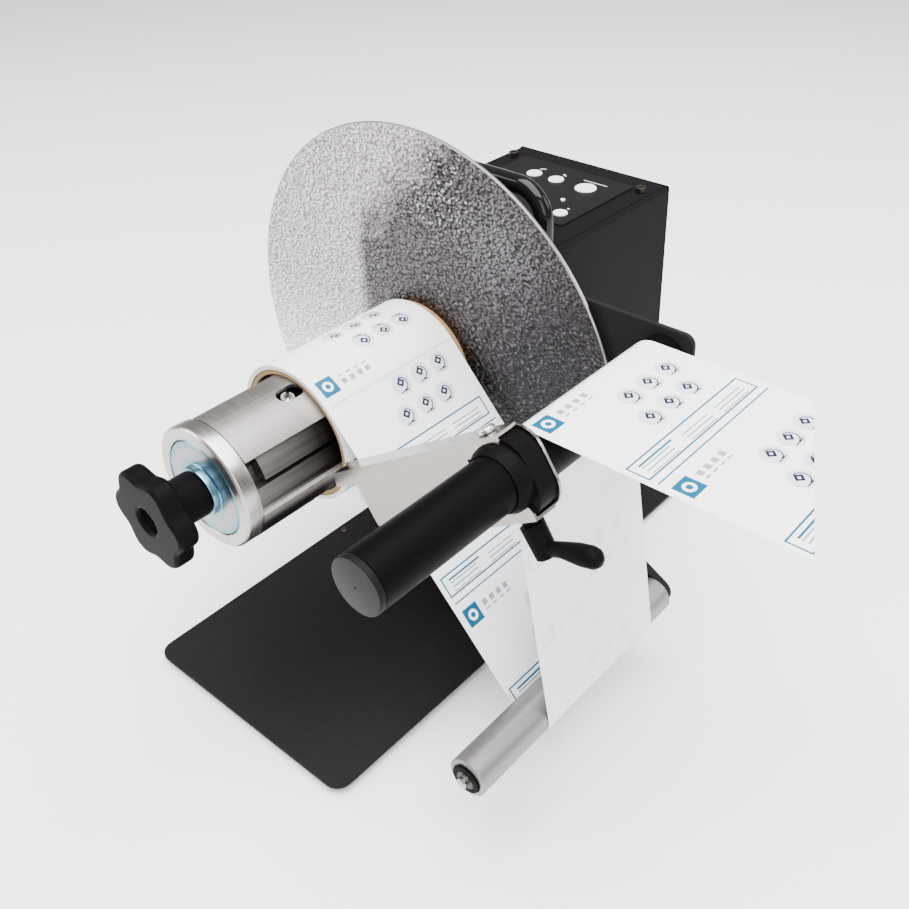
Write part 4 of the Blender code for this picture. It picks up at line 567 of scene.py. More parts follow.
jaw_screw_radius = 4.2 * MM
jaw_screw_top = 35.2 * MM
jaw_screw_seat = 31.6 * MM
jaw_screw_place = slot_front + jaw_screw_radius + 3.2 * MM
shank_radius = 2.0 * MM
shank_end = 24.0 * MM
slit = 0.65 * MM
slit_length = 6.0 * MM
slit_reach = (-40.0 * MM, -34.0 * MM)
jaw_screw = lathe("jaw_screw", bright,
                  [(0.0, -jaw_screw_top), (jaw_screw_radius - 0.5 * MM, -jaw_screw_top),
                   (jaw_screw_radius, 0.5 * MM - jaw_screw_top), (jaw_screw_radius, -jaw_screw_seat),
                   (shank_radius, -jaw_screw_seat), (shank_radius, -shank_end), (0.0, -shank_end)],
                  (0.0, 0.0), 40)
slit_outline = [(-slit_length, -slit), (slit_length, -slit), (slit_length, slit), (-slit_length, slit)]
trimmed(jaw_screw, slab("groove_tool", bright, slit_outline, *slit_reach))


def copied(screw, stands, body):
    """Put a copy of a screw, with its own mesh, at each stand, and drop
    the one that was copied."""
    for number, stand in enumerate(stands, 1):
        twin = bpy.data.objects.new("%s_%d" % (screw.name, number), screw.data.copy())
        bpy.context.scene.collection.objects.link(twin)
        twin.data.transform(stand)
        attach(twin, body)
    bpy.data.objects.remove(screw, do_unlink=True)


copied(jaw_screw, [outward(middle, jaw_screw_place, 40.0) for middle in jaw_middles], "spindle")


# Cardboard core. A spiral-wound board tube that the jaws grip from within.
# Its cut end shows the plies.
core_board = Finish("core_board", (0.42, 0.3, 0.17), 0.8)
bx, by, bz = core_board.axes()
winding = core_board.node("CombineXYZ", _0=apart(bx, bz, spindle_line) * 3400.0, _1=by * 90.0,
                          _2=bx * 40.0)
plies = core_board.noise(1.0, 2.0, winding)
fibres = core_board.noise(420.0, 4.0)
core_board.vary(plies * 0.6 + fibres * 0.4, colours=((0.13, 0.075, 0.03), (0.46, 0.29, 0.135)))
core_board.vary(plies + fibres * 0.5, relief=(0.12 * MM, 0.6))
core_low, core_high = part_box("cardboard_core")
core_outer = half_width(core_low, core_high)
core_inner = 38.1 * MM
core_lip = 0.35 * MM
core = lathe("board_core", core_board,
             [(core_inner + core_lip, core_low[1]), (core_outer - core_lip, core_low[1]),
              (core_outer, core_low[1] + core_lip), (core_outer, core_high[1]), (core_inner, core_high[1]),
              (core_inner, core_low[1] + core_lip)], spindle_line, 128)
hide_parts("cardboard_core")
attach(core, "spindle")


# Printed face of the web. Glossy white labels on a thin liner, with one
# generic layout of blue and grey marks that repeats along the web.
web_low, web_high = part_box("web_loop")
web_front = web_low[1]
web_back = web_high[1]
web_width = web_back - web_front
web_thickness = 0.22 * MM


def label_marks(finish):
    """Masks of the blue, grey, pale and dark print. Places are in
    millimetres along the web and across it, from the web's own map."""
    label_pitch = 75.0
    along, across = finish.axes(finish.node("UVMap", {"uv_map": "web"}))[:2]
    run = (along / MM) % label_pitch
    wide = across / MM

    def below(value, limit, soft=0.12):
        """1 under a limit, with a soft edge."""
        return ((limit - value) / soft).clamp()

    def inside(value, low, high, soft=0.12):
        """1 between two limits."""
        return ((value - low) / soft).clamp() * below(value, high, soft)

    def block_mark(low_run, high_run, low_wide, high_wide):
        """A filled rectangle."""
        return inside(run, low_run, high_run) * inside(wide, low_wide, high_wide)

    def framed(low_run, high_run, low_wide, high_wide, line):
        """The outline of a rectangle."""
        hole = block_mark(low_run + line, high_run - line, low_wide + line, high_wide - line)
        return block_mark(low_run, high_run, low_wide, high_wide) - hole

    # A square badge with a ring, a long rule, a frame and a short bar.
    from_badge = apart(run, wide, (12.75, 9.75))
    badge = (block_mark(7.0, 18.5, 4.0, 15.5) - below(from_badge, 3.4)) | below(from_badge, 1.7)
    rule = block_mark(1.0, 2.0, 3.0, 99.0)
    blue = badge | rule | framed(59.5, 72.5, 3.0, 97.0, 1.0) | block_mark(62.6, 63.9, 8.0, 34.0)

    # Three columns of fine lines in the frame, and small tiles by the badge.
    columns = inside(wide, 40.0, 62.0) | inside(wide, 68.0, 91.0) | inside(wide, 8.0, 30.0)
    bars = inside(run % 2.7, 0.0, 0.95) * inside(run, 64.9, 71.0) * columns
    tile_rows = inside(run, 9.4, 13.0) | inside(run, 14.6, 15.8)
    tiles = inside(wide % 6.0, 1.2, 4.8) * inside(wide, 18.0, 42.0) * tile_rows

    # Two staggered rows of pale rounds, each with a diamond and an arc.
    staggered = wide + inside(run, 38.0, 99.0) * 8.0
    area = inside(run, 20.5, 55.5) * inside(staggered, 44.0, 92.0)
    round_run = (run - 20.5) % 17.5
    round_wide = (staggered - 44.0) % 16.0
    far = apart(round_run, round_wide, (8.75, 8.0))
    pale = below(far, 6.9, 0.2) * area
    corner = abs(round_run - 7.6) + abs(round_wide - 8.0)
    diamond = below(corner, 3.1, 0.15) - below(corner, 1.2, 0.15)
    arc = below(abs(far - 4.1), 0.45, 0.15) * (round_wide > 8.0)
    stroke = inside(round_run, 12.9, 13.7) * inside(round_wide, 4.6, 11.4)
    dark = (diamond | arc | stroke) * area
    return blue.clamp(), (bars * 0.9 + tiles * 0.8).clamp(), pale, dark.clamp()


def print_on(finish, ground, strength):
    """Lay the four inks of the print on a ground colour."""
    blue, grey, pale, dark = label_marks(finish)
    shade = finish.mix(pale * strength, ground, (0.6, 0.61, 0.655))
    shade = finish.mix(grey * strength, shade, (0.1, 0.12, 0.15))
    shade = finish.mix(dark * strength, shade, (0.008, 0.011, 0.03))
    return finish.mix(blue * strength, shade, (0.0, 0.079, 0.16))


label_face = Finish("printed_label", (0.86, 0.87, 0.88), 0.32, Specular_IOR_Level=0.2)
label_face.feed("Base Color", print_on(label_face, (0.86, 0.87, 0.9), 1.0))
label_face.vary(label_face.noise(60.0, 3.0), roughness=(0.3, 0.1), relief=(0.25 * MM, 0.25))

liner = Finish("web_liner", (0.8, 0.82, 0.83), 0.38)
cloudy = liner.noise(45.0, 3.0)
ground = liner.mix(cloudy, (0.74, 0.76, 0.77), (0.84, 0.855, 0.86))
show_through = 0.16
liner.feed("Base Color", print_on(liner, ground, show_through))
liner.vary(cloudy, roughness=(0.34, 0.12), relief=(0.3 * MM, 0.25))

edge_paper = Finish("web_edge", (0.78, 0.78, 0.78), 0.6)
edge_paper.vary((apart(*edge_paper.axes()[::2], spindle_line) * 31000.0).ripple(),
                colours=((0.55, 0.56, 0.58), (0.86, 0.87, 0.88)), relief=(0.05 * MM, 0.5))


# Roll of labels. The printed web wound face out on the core, a few layers
# deep. The outer layer is a sheet of its own over the roll's mass.
def web_strip(name, path, start):
    """A strip of web along a path in X and Z, with the web's own map:
    metres along it, and metres from its edge."""
    trace([(x, web_front, z) for x, z in path])
    bpy.ops.mesh.extrude_region_move(TRANSFORM_OT_translate={"value": (0.0, web_width, 0.0)})
    bpy.ops.object.mode_set(mode="OBJECT")
    bpy.ops.object.transform_apply(location=True, rotation=True, scale=True)
    strip = bpy.context.object
    strip.name = name
    strip.data.name = name
    layer = strip.data.uv_layers.new(name="web")
    lengths = [start]
    for here, there in zip(path, path[1:]):
        lengths.append(lengths[-1] + math.hypot(there[0] - here[0], there[1] - here[1]))
    for corner in strip.data.loops:
        place = strip.data.vertices[corner.vertex_index].co
        gaps = [math.hypot(place.x - x, place.z - z) for x, z in path]
        layer.data[corner.index].uv = (lengths[gaps.index(min(gaps))], place.y - web_front)
    return strip, lengths[-1]


def facing(strip, side, point):
    """Turn the strip so that its printed face at a point looks to a side."""
    face = min(strip.data.polygons, key=lambda f: (f.center - Vector(point)).length)
    if face.normal.dot(Vector(side)) < 0.0:
        strip.data.flip_normals()


def thickened(strip, backing, offset, even=False):
    """Give a printed strip its thickness, with another face behind."""
    strip.data.materials.append(label_face.material)
    strip.data.materials.append(backing.material)
    applied(strip, "SOLIDIFY", thickness=web_thickness, offset=offset, material_offset=1,
            material_offset_rim=1, use_even_offset=even)
    smoothed(strip)


def crossing(centre_a, radius_a, centre_b, radius_b, side):
    """Touching points of a web that crosses between two rounds."""
    dx = centre_b[0] - centre_a[0]
    dz = centre_b[1] - centre_a[1]
    angle = math.atan2(dz, dx) + side * math.acos((radius_a + radius_b) / math.hypot(dx, dz))
    leave = (centre_a[0] + radius_a * math.cos(angle), centre_a[1] + radius_a * math.sin(angle))
    meet = (centre_b[0] - radius_b * math.cos(angle), centre_b[1] - radius_b * math.sin(angle))
    return leave, meet, math.degrees(angle)


def wrap(centre, radius, start, end, count):
    """Even stops on an arc, by angle from +X to +Z."""
    angles = [math.radians(start + (end - start) * step / count) for step in range(count + 1)]
    return [(centre[0] + radius * math.cos(angle), centre[1] + radius * math.sin(angle)) for angle in angles]


roll_radius = 43.9 * MM
roller_low, roller_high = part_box("dancer_roller")
roller_radius = half_width(roller_low, roller_high)
roller_line = midpoint(roller_low, roller_high)[::2]
tube_low, tube_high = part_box("guide_tube")
tube_radius = half_width(tube_low, tube_high)
tube_line = midpoint(tube_low, tube_high)[::2]
lift = 0.35 * MM
leave, meet, down_angle = crossing(spindle_line, roll_radius, roller_line, roller_radius + lift, 1.0)
rise, arrive, up_angle = crossing(roller_line, roller_radius + lift, tube_line, tube_radius + lift, -1.0)

layer_path = wrap(spindle_line, roll_radius, down_angle, down_angle + 360.0, 160)
outer_layer = web_strip("roll_outer_layer", layer_path, 0.0)[0]
facing(outer_layer, (0.0, 0.0, 1.0), (spindle_x, web_front, spindle_z + roll_radius))
thickened(outer_layer, edge_paper, -1.0, even=True)
roll_gap = 0.1 * MM
roll_inner = core_outer + roll_gap
roll_outer = roll_radius - web_thickness - 0.05 * MM
inner_roll = lathe("roll_layers", edge_paper,
                   [(roll_inner, web_front + roll_gap), (roll_outer, web_front + roll_gap),
                    (roll_outer, web_back - roll_gap), (roll_inner, web_back - roll_gap)], spindle_line, 128)
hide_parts("label_roll")
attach(inner_roll, "spindle")
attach(outer_layer, "spindle")


# Web loop. The stretch from the roll, round the dancer roller and up to
# the guide tube.
def straight(start, end, count):
    """Even stops on a straight run, without its two ends."""
    return [(start[0] + (end[0] - start[0]) * step / count, start[1] + (end[1] - start[1]) * step / count)
            for step in range(1, count)]


loop_path = [leave] + straight(leave, meet, 24)
loop_path += wrap(roller_line, roller_radius + lift, down_angle + 180.0, up_angle + 360.0, 24)
loop_path += straight(rise, arrive, 24) + [arrive]
loop_start = 22.0 * MM
loop, loop_end = web_strip("web_loop_sheet", loop_path, loop_start)
facing(loop, (1.0, 0.0, 0.6), ((leave[0] + meet[0]) / 2.0, web_front, (leave[1] + meet[1]) / 2.0))
thickened(loop, liner, 0.0)
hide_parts("web_loop")
spindle_z + 20.0 * MM
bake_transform(loop)


# Outgoing web. The stretch that lies over the guide tube and runs level
# towards the printer, cut off on the slant as in the picture.
tube_top = (tube_line[0], tube_line[1] + tube_radius + lift)
out_end = (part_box("web_outgoing")[1][0], tube_top[1])
out_path = wrap(tube_line, tube_radius + lift, up_angle + 180.0, 90.0, 20)
out_path += straight(tube_top, out_end, 30) + [out_end]
outgoing, outgoing_end = web_strip("web_outgoing_sheet", out_path, loop_end)
facing(outgoing, (0.0, 0.0, 1.0), (out_end[0] - 20.0 * MM, web_front, out_end[1]))
slant = 50.5 * MM
picked(outgoing)
bpy.ops.object.mode_set(mode="EDIT")
bpy.ops.mesh.select_all(action="SELECT")
bpy.ops.mesh.bisect(plane_co=(out_end[0], web_front, out_end[1]), plane_no=(web_width, slant, 0.0),
                    clear_outer=True)
bpy.ops.object.mode_set(mode="OBJECT")
thickened(outgoing, liner, 0.0)
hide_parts("web_outgoing")
flat_length = outgoing_end - loop_end
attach(outgoing, "frame")


# End collar. A turned aluminium ring with a deep recess in its face that
# holds the stepped, zinc-plated pressure washer of the knob.
collar_low, collar_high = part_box("end_collar")
collar_radius = half_width(collar_low, collar_high)
collar_chamfer = 1.3 * MM
collar_bore = 9.0 * MM
collar_recess = 29.7 * MM
collar_floor = collar_low[1] + 3.0 * MM
lip = 0.5 * MM
collar = lathe("end_collar_ring", turned_rim,
               [(collar_bore, collar_floor), (collar_recess - lip, collar_floor),
                (collar_recess, collar_floor - lip), (collar_recess, collar_low[1] + lip),
                (collar_recess + lip, collar_low[1]), (collar_radius - collar_chamfer, collar_low[1]),
                (collar_radius - 0.2 * MM, collar_low[1] + collar_chamfer * 0.8),
                (collar_radius, collar_low[1] + collar_chamfer * 1.3),
                (collar_radius, collar_high[1] - 0.3 * MM), (collar_radius - 0.3 * MM, collar_high[1]),
                (collar_bore, collar_high[1])], spindle_line, 160)
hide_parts("end_collar")
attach(collar, "clamp_head")

zinc_plate = Finish("blue_zinc", (0.5, 0.56, 0.66), 0.26, 1.0)
from_stud = apart(*zinc_plate.axes()[::2], spindle_line)
rings = (from_stud * 9000.0 + zinc_plate.noise(90.0) * 6.0).ripple()
tarnish = zinc_plate.noise(55.0, 4.0)
pink_ring = 22.5 * MM
off_ring = (abs(from_stud - pink_ring) / (6.0 * MM) + tarnish * 1.6 - 0.8).clamp()
zinc_plate.vary(off_ring, colours=((0.31, 0.255, 0.29), (0.115, 0.235, 0.29)))
zinc_plate.vary(rings, roughness=(0.22, 0.12), relief=(0.015 * MM, 0.5))
washer_low, washer_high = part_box("pressure_washer")
washer_radius = half_width(washer_low, washer_high)
washer_bore = 5.3 * MM
washer_hub = 15.0 * MM
washer_step = washer_low[1] + 4.5 * MM
washer = lathe("pressure_washer_zinc", zinc_plate,
               [(washer_bore, washer_low[1]), (washer_hub - 1.0 * MM, washer_low[1]),
                (washer_hub - 0.3 * MM, washer_low[1] + 0.4 * MM), (washer_hub, washer_low[1] + 1.2 * MM),
                (washer_hub, washer_step - 0.6 * MM), (washer_hub + 0.6 * MM, washer_step),
                (washer_radius - 0.8 * MM, washer_step), (washer_radius, washer_step + 0.8 * MM),
                (washer_radius, washer_high[1]), (washer_bore, washer_high[1])], spindle_line, 128)
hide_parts("pressure_washer")
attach(washer, "clamp_head")


# Star knob. A black moulded hand knob with six lobes, a round neck and a
# round recess over the stud's end. Its faces have a fine mould grain.
moulded = Finish("moulded_plastic", (0.003, 0.003, 0.003), 0.4, Specular_IOR_Level=0.016)
moulded.vary(moulded.noise(1900.0), colours=((0.0016, 0.0014, 0.0015), (0.006, 0.0052, 0.0056)),
             roughness=(0.32, 0.14), relief=(0.025 * MM, 0.5))
knob_low, knob_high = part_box("star_knob")
knob_tip = 29.6 * MM
knob_wave = 4.2 * MM
knob_lobes = 6
knob_steps = 144
valley_power = 1.25
knob_back = knob_low[1] + 12.5 * MM
recess_radius = 7.6 * MM
neck_radius = 13.5 * MM
star = []
for step in range(knob_steps):
    angle = 2.0 * math.pi * step / knob_steps
    wave = (1.0 - math.cos(knob_lobes * angle)) / 2.0
    reach = knob_tip - knob_wave * wave ** valley_power
    star.append((spindle_x + reach * math.cos(angle), spindle_z + reach * math.sin(angle)))
grip = slab("star_knob_grip", moulded, star, knob_low[1], knob_back, 50.0)
trimmed(grip, slab("recess_tool", moulded, wrap(spindle_line, recess_radius, 0.0, 345.0, 23),
                   knob_low[1] - 5.0 * MM, knob_low[1] + 6.0 * MM))
eased(grip, 2.6 * MM, 5, 50.0)
neck = lathe("star_knob_neck", moulded,
             [(0.0, knob_back - 1.0 * MM), (neck_radius + 3.0 * MM, knob_back - 1.0 * MM),
              (neck_radius + 1.1 * MM, knob_back + 1.4 * MM), (neck_radius, knob_back + 4.0 * MM),
              (neck_radius, knob_high[1] - 0.5 * MM), (neck_radius - 0.5 * MM, knob_high[1]),
              (0.0, knob_high[1])], spindle_line, 64)
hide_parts("star_knob")
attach(grip, "knob")
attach(neck, "knob")


# Guide tube. A black-coated steel tube bolted to the face plate's flag,
# closed at its front by a black plug whose sawn face is greyer than its
# rim and keeps a small centre mark.
tube_coat = Finish("tube_coat", (0.003, 0.003, 0.003), 0.42, Specular_IOR_Level=0.02)
tube_coat.vary(tube_coat.noise(1500.0), colours=((0.0012, 0.0011, 0.0012), (0.0034, 0.003, 0.0032)),
               roughness=(0.36, 0.12), relief=(0.03 * MM, 0.6))
tube_wall = 2.0 * MM
tube_edge = 0.4 * MM
tube = lathe("guide_tube_coated", tube_coat,
             [(tube_radius - tube_wall, tube_low[1]), (tube_radius - tube_edge, tube_low[1]),
              (tube_radius, tube_low[1] + tube_edge), (tube_radius, tube_high[1]),
              (tube_radius - tube_wall, tube_high[1])], tube_line, 96)
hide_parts("guide_tube")
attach(tube, "frame")

cap_grey = Finish("end_cap_grey", (0.03, 0.03, 0.03), 0.5, Specular_IOR_Level=0.05)
cap_marks = cap_grey.noise(700.0, 3.0)
cap_edge = apart(*cap_grey.axes()[::2], tube_line) > tube_radius - 0.5 * MM
sawn_grey = cap_grey.mix(cap_marks, (0.016, 0.0155, 0.0155), (0.034, 0.033, 0.033))
cap_grey.feed("Base Color", cap_grey.mix(cap_edge, sawn_grey, (0.005, 0.005, 0.005)))
cap_grey.vary(cap_marks, roughness=(0.44, 0.14), relief=(0.03 * MM, 0.4))
cap_low, cap_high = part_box("tube_end_cap")
cap_rim = cap_low[1] + 3.0 * MM
plug_radius = tube_radius - 2.3 * MM
cap = lathe("tube_end_cap_disc", cap_grey,
            [(0.0, cap_low[1] + 0.7 * MM), (0.9 * MM, cap_low[1]), (tube_radius - 0.6 * MM, cap_low[1]),
             (tube_radius - 0.2 * MM, cap_low[1] + 0.2 * MM), (tube_radius, cap_low[1] + 0.6 * MM),
             (tube_radius, cap_rim), (plug_radius, cap_rim), (plug_radius, cap_high[1]), (0.0, cap_high[1])],
            tube_line, 96)
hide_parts("tube_end_cap")
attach(cap, "frame")


# Dancer roller. A ground aluminium tube that turns on a steel shaft, held
# by a black clip, on the sprung tension arm behind the face plate.
ground_alu = Finish("ground_aluminium", (0.4, 0.39, 0.38), 0.45, 1.0)
ground_alu.vary(ground_alu.noise(1.0, 3.0, ground_alu.stretched(80.0, 2600.0, 80.0)),
                colours=((0.2, 0.193, 0.185), (0.31, 0.3, 0.29)), roughness=(0.4, 0.14),
                relief=(0.015 * MM, 0.5))
roller_bore = 6.3 * MM
roller_edge = 0.6 * MM
dish_radius = 9.0 * MM
dish_floor = roller_low[1] + 0.8 * MM
roller = lathe("dancer_roller_tube", ground_alu,
               [(roller_bore, dish_floor), (dish_radius, dish_floor), (dish_radius + 0.4 * MM, roller_low[1]),
                (roller_radius - roller_edge, roller_low[1]), (roller_radius, roller_low[1] + roller_edge),
                (roller_radius, roller_high[1] - roller_edge), (roller_radius - roller_edge, roller_high[1]),
                (roller_bore, roller_high[1])], roller_line, 96)
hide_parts("dancer_roller")
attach(roller, "roller")

shaft_low, shaft_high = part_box("roller_shaft")
shaft_radius = 6.0 * MM
pin_radius = 3.2 * MM
pin_end = shaft_low[1] + 3.2 * MM
journal = Finish("turned_journal", (0.4, 0.39, 0.37), 0.3, 1.0)
nx, ny, nz = journal.axes()
off_centre = apart(nx, nz, roller_line)
shoulder = (off_centre > 3.3 * MM) * (ny < shaft_low[1] + 4.5 * MM)
turning = (off_centre * 11000.0).ripple()
turned_steel = journal.mix(turning, (0.3, 0.29, 0.27), (0.52, 0.5, 0.47))
journal.feed("Base Color", journal.mix(shoulder, turned_steel, (0.012, 0.011, 0.011)))
journal.vary(turning, roughness=(0.24, 0.12))
shaft = lathe("roller_shaft_turned", journal,
              [(0.0, shaft_low[1] + 0.4 * MM), (0.7 * MM, shaft_low[1]),
               (pin_radius - 0.6 * MM, shaft_low[1]), (pin_radius, shaft_low[1] + 0.6 * MM),
               (pin_radius, pin_end), (shaft_radius - 0.4 * MM, pin_end), (shaft_radius, pin_end + 0.4 * MM),
               (shaft_radius, shaft_high[1]), (0.0, shaft_high[1])], roller_line, 48)
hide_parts("roller_shaft")
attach(shaft, "arm")

clip_low, clip_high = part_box("roller_clip")
clip_bore = 6.2 * MM
clip_radius = 9.0 * MM
clip = lathe("roller_clip_ring", moulded,
             [(clip_bore, clip_low[1]), (clip_radius - 0.3 * MM, clip_low[1]),
              (clip_radius, clip_low[1] + 0.3 * MM), (clip_radius, clip_high[1]), (clip_bore, clip_high[1])],
             roller_line, 48)
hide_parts("roller_clip")
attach(clip, "arm")
dress(bright, "spindle_shaft", "arm_pivot_bolt", "pivot_spacer", "stop_pin_lower", "stop_pin_upper",
      "arm_spring", "tube_bolt", "rail_left", "rail_right", "bearing_front", "bearing_rear", "motor_bracket",
      "gear_motor", "motor_shaft")


# Guide bracket. A channel of bright stainless sheet that hangs on the
# tube, with a black clamp block inside it, a pan-head screw on top and a
# black clamp lever below.
stainless = Finish("stainless_sheet", (0.38, 0.35, 0.33), 0.2, 1.0)
stainless.vary(stainless.noise(1.0, 3.0, stainless.stretched(60.0, 60.0, 1500.0)),
               colours=((0.2, 0.178, 0.164), (0.36, 0.328, 0.305)), roughness=(0.16, 0.14),
               relief=(0.01 * MM, 0.4))
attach(refined("guide_bracket", "guide_bracket_sheet", stainless, 0.3 * MM, 2), "guide")
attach(refined("clamp_block", "clamp_block_moulded", moulded, 0.7 * MM), "guide")
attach(refined("bracket_screw", "bracket_pan_head", bright, 0.4 * MM), "guide")
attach(refined("clamp_lever", "clamp_lever_moulded", moulded, 0.8 * MM), "lever")


# Cabinet. A cover folded from one sheet, with its side returns lapped
# beneath the top, closed at the rear by a panel. The cover's coat is a
# darker copy, painted shade on its sides; the panel's is darker still.
cover_low, cover_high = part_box("cabinet_cover")
shaded_cover_coat = black_coat("shaded_cover_coat", (0.003, 0.0027, 0.0029), (0.0095, 0.0085, 0.009),
                        (cover_high[0] - 2.6 * MM, cover_high[2] - 0.2 * MM))
dress(shaded_cover_coat, "cabinet_cover")
rear_coat = black_coat("rear_coat", (0.0008, 0.0008, 0.0008), (0.003, 0.003, 0.003))
dress(rear_coat, "back_panel")


# Carry handle. A bent steel bar in gloss black that stands on the cover.
# Its two legs are round and its corners are bent on one radius.
gloss = Finish("gloss_lacquer", (0.003, 0.003, 0.003), 0.08, Specular_IOR_Level=0.2)
gloss.vary(gloss.noise(40.0, 3.0), colours=((0.003, 0.003, 0.003), (0.006, 0.006, 0.006)),
           roughness=(0.05, 0.06))
handle_low, handle_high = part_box("carry_handle")
handle_x, handle_y = midpoint(handle_low, handle_high)[:2]
bar_radius = (handle_high[1] - handle_low[1]) / 2.0
leg_x = handle_high[0] - bar_radius - handle_x
crown_z = handle_high[2] - bar_radius
bend = 20.0 * MM
bar = bpy.data.curves.new("carry_handle_bar", "CURVE")
bar.dimensions = "3D"
bar.bevel_depth = bar_radius
bar.bevel_resolution = 12
bar.use_fill_caps = True
line = [(-leg_x, handle_low[2])]
line += wrap((bend - leg_x, crown_z - bend), bend, 180.0, 90.0, 20)
line += wrap((leg_x - bend, crown_z - bend), bend, 90.0, 0.0, 20)
line += [(leg_x, handle_low[2])]
spline = bar.splines.new("POLY")
spline.points.add(len(line) - 1)
for point, (x, z) in zip(spline.points, line):
    point.co = (handle_x + x, handle_y, z, 1.0)
handle = bpy.data.objects.new("carry_handle_bar", bar)
bpy.context.scene.collection.objects.link(handle)
picked(handle)
bpy.ops.object.convert(target="MESH")
handle = smoothed(bpy.context.object)
handle.data.materials.append(gloss.material)
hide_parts("carry_handle")
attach(handle, "frame")


# Control panel. A satin black overlay with small pale signs, generic
# strokes behind the round white buttons, and a small white status lamp.
overlay = Finish("panel_overlay", (0.006, 0.0056, 0.0056), 0.42, Specular_IOR_Level=0.06)
px, py = overlay.axes()[:2]


def sign(button, away, wide, tall, slope):
    """A stroke behind a button: its distance, half sizes and slope."""
    low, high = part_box("button_" + button)
    mark_x = (px - midpoint(low, high)[0]) / MM
    mark_y = (py - high[1] - away * MM) / MM
    stroke = (abs(mark_x) < wide) * (abs(mark_y - mark_x * slope) < tall)
    if button == "start":
        stroke = stroke * ((mark_x % 1.9) < 1.4)
    return stroke


signs = (sign("forward", 3.6, 1.9, 0.8, 0.5) | sign("reverse", 3.6, 1.9, 0.8, -0.5)
         | sign("start", 3.0, 10.0, 0.55, 0.0) | sign("power", 3.0, 0.8, 0.8, 0.0))
overlay_grain = overlay.noise(1100.0)
black = overlay.mix(overlay_grain, (0.004, 0.0037, 0.0037), (0.0105, 0.0098, 0.0098))
overlay.feed("Base Color", overlay.mix(signs, black, (0.5, 0.5, 0.5)))
overlay.vary(overlay_grain, roughness=(0.38, 0.1), relief=(0.02 * MM, 0.4))
dress(overlay, "control_panel")

button_white = Finish("button_white", (0.8, 0.8, 0.79), 0.35)
button_white.vary(button_white.noise(700.0), colours=((0.76, 0.76, 0.75), (0.84, 0.84, 0.83)),
                  roughness=(0.3, 0.12))
cap_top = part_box("control_panel")[1][2] + 0.8 * MM
cap_gap = 1.2 * MM
dish_edge = 1.1 * MM
dish_slope = 0.6 * MM
dish_depth = 0.15 * MM
for name in ("forward", "reverse", "start", "power"):
    low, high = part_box("button_" + name)
    centre_x, centre_y = midpoint(low, high)[:2]
    cap_radius = half_width(low, high) - cap_gap
    bpy.ops.object.select_all(action="DESELECT")
    bpy.ops.mesh.primitive_cylinder_add(vertices=64, radius=cap_radius, depth=cap_top - low[2],
                                        location=(centre_x, centre_y, (low[2] + cap_top) / 2.0))
    bpy.ops.object.mode_set(mode="EDIT")
    bpy.ops.mesh.select_mode(type="FACE")
    bpy.ops.mesh.select_all(action="DESELECT")
    shape = bmesh.from_edit_mesh(bpy.context.object.data)
    for facet in shape.faces:
        facet.select = facet.normal.z > 0.9
    bmesh.update_edit_mesh(bpy.context.object.data)
    bpy.ops.mesh.inset(thickness=dish_edge, depth=0.0)
    bpy.ops.mesh.inset(thickness=dish_slope, depth=-dish_depth)
    button = settle("push_button_" + name, button_white)
    eased(button, 0.5 * MM, 3, 50.0)
    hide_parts("button_" + name)
    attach(button, name + "_button")
dress(button_white, "status_lamp")

board_green = Finish("circuit_board", (0.02, 0.16, 0.07), 0.4)
board_green.vary(board_green.noise(300.0) > 0.55, colours=((0.015, 0.12, 0.05), (0.03, 0.2, 0.09)))
dress(board_green, "control_board")
dress(moulded, "power_inlet", "switch_housing", "power_rocker")


# Socket-head screws of the cover. Black cap screws with a hexagon socket,
# two at the rear and two at the front of the cabinet's top.
blued = Finish("blued_steel", (0.045, 0.04, 0.036), 0.35, 0.7)
blued.vary(blued.noise(500.0, 3.0), colours=((0.012, 0.01, 0.008), (0.035, 0.028, 0.022)),
           roughness=(0.28, 0.2))


def cylinder(name, radius, low, high, vertices):
    """An upright round or many-sided bar about the origin."""
    bpy.ops.object.select_all(action="DESELECT")
    bpy.ops.mesh.primitive_cylinder_add(vertices=vertices, radius=radius, depth=high - low,
                                        location=(0.0, 0.0, (low + high) / 2.0))
    bpy.ops.object.mode_set(mode="EDIT")
    return settle(name, blued)


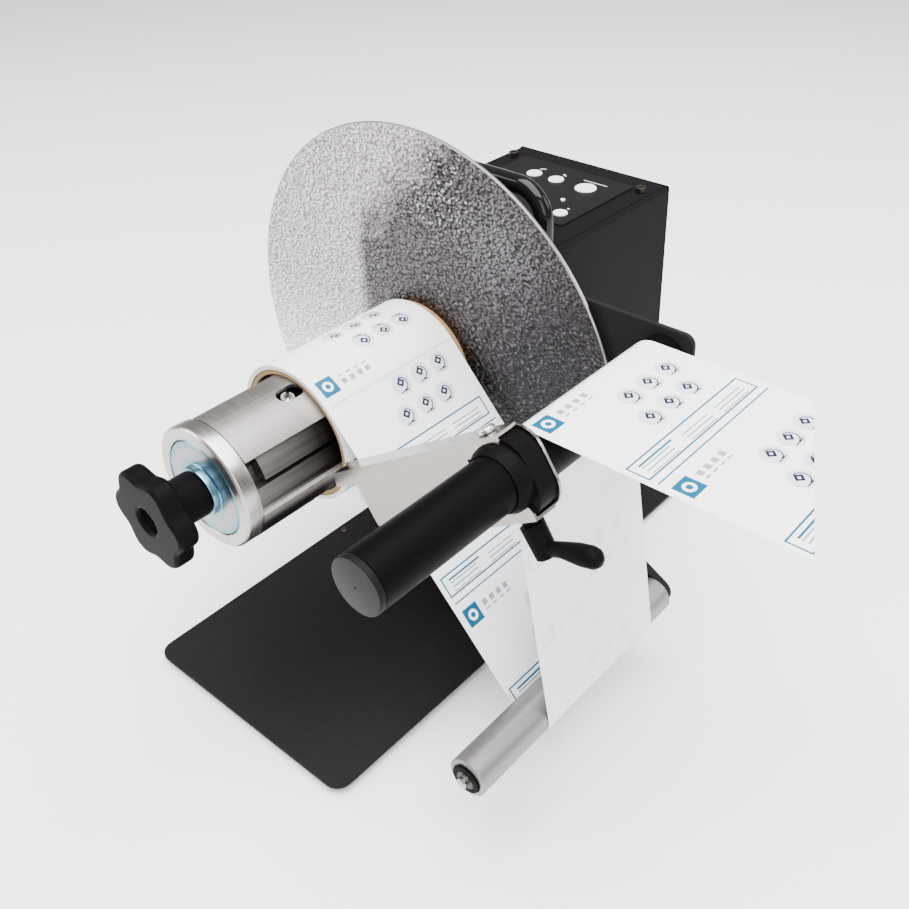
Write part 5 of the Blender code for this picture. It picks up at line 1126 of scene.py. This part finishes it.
cover_x = midpoint(cover_low, cover_high)[0]
screw_side = 55.5 * MM
screw_rear = cover_high[1] - 19.2 * MM
screw_fore = cover_low[1] + 12.1 * MM
screw_height = 4.0 * MM
screw_radius = 3.5 * MM
hex_radius = 1.7 * MM
cover_screw = cylinder("cover_screw", screw_radius, 0.0, screw_height, 40)
trimmed(cover_screw, cylinder("hex_tool", hex_radius, screw_height / 2.0, screw_height * 1.5, 6))
eased(cover_screw, 0.4 * MM, 3, 50.0)
copied(cover_screw, [Matrix.Translation((cover_x + side, y, cover_high[2]))
                     for y in (screw_rear, screw_fore) for side in (-screw_side, screw_side)], "frame")


# Back panel screws. Four low button heads with a hexagon socket hold the
# panel to the cover's rear flanges.
panel_screw = lathe("panel_screw", blued,
                    [(0.0, 2.0 * MM), (1.5 * MM, 2.0 * MM), (2.4 * MM, 1.6 * MM), (2.9 * MM, 0.8 * MM),
                     (3.0 * MM, 0.0), (0.0, 0.0)], (0.0, 0.0), 40)
hexagon = wrap((0.0, 0.0), 1.3 * MM, 0.0, 300.0, 5)
evened(trimmed(panel_screw, slab("hex_tool", blued, hexagon, 1.0 * MM, 3.0 * MM)))
rear_low, rear_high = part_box("back_panel")
inset = 7.0 * MM
copied(panel_screw, [Matrix.Translation((x, rear_high[1], z))
                     for z in (rear_low[2] + inset, rear_high[2] - inset)
                     for x in (rear_low[0] + inset, rear_high[0] - inset)], "frame")


# Base plate screws. Two small low black heads hold the face plate's foot
# to the base, near its side edges.
base_low, base_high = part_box("base_plate")
base_screw_y = -15.7 * MM
base_inset = 6.0 * MM
base_screw = lathe("base_screw", blued,
                   [(0.0, -0.9 * MM), (1.6 * MM, -0.8 * MM), (2.5 * MM, -0.3 * MM), (2.6 * MM, 0.0),
                    (0.0, 0.0)], (0.0, 0.0), 24)
upright = Matrix.Rotation(-math.pi / 2.0, 4, "X")
copied(base_screw, [Matrix.Translation((x, base_screw_y, base_high[2])) @ upright
                    for x in (base_low[0] + base_inset, base_high[0] - base_inset)], "frame")
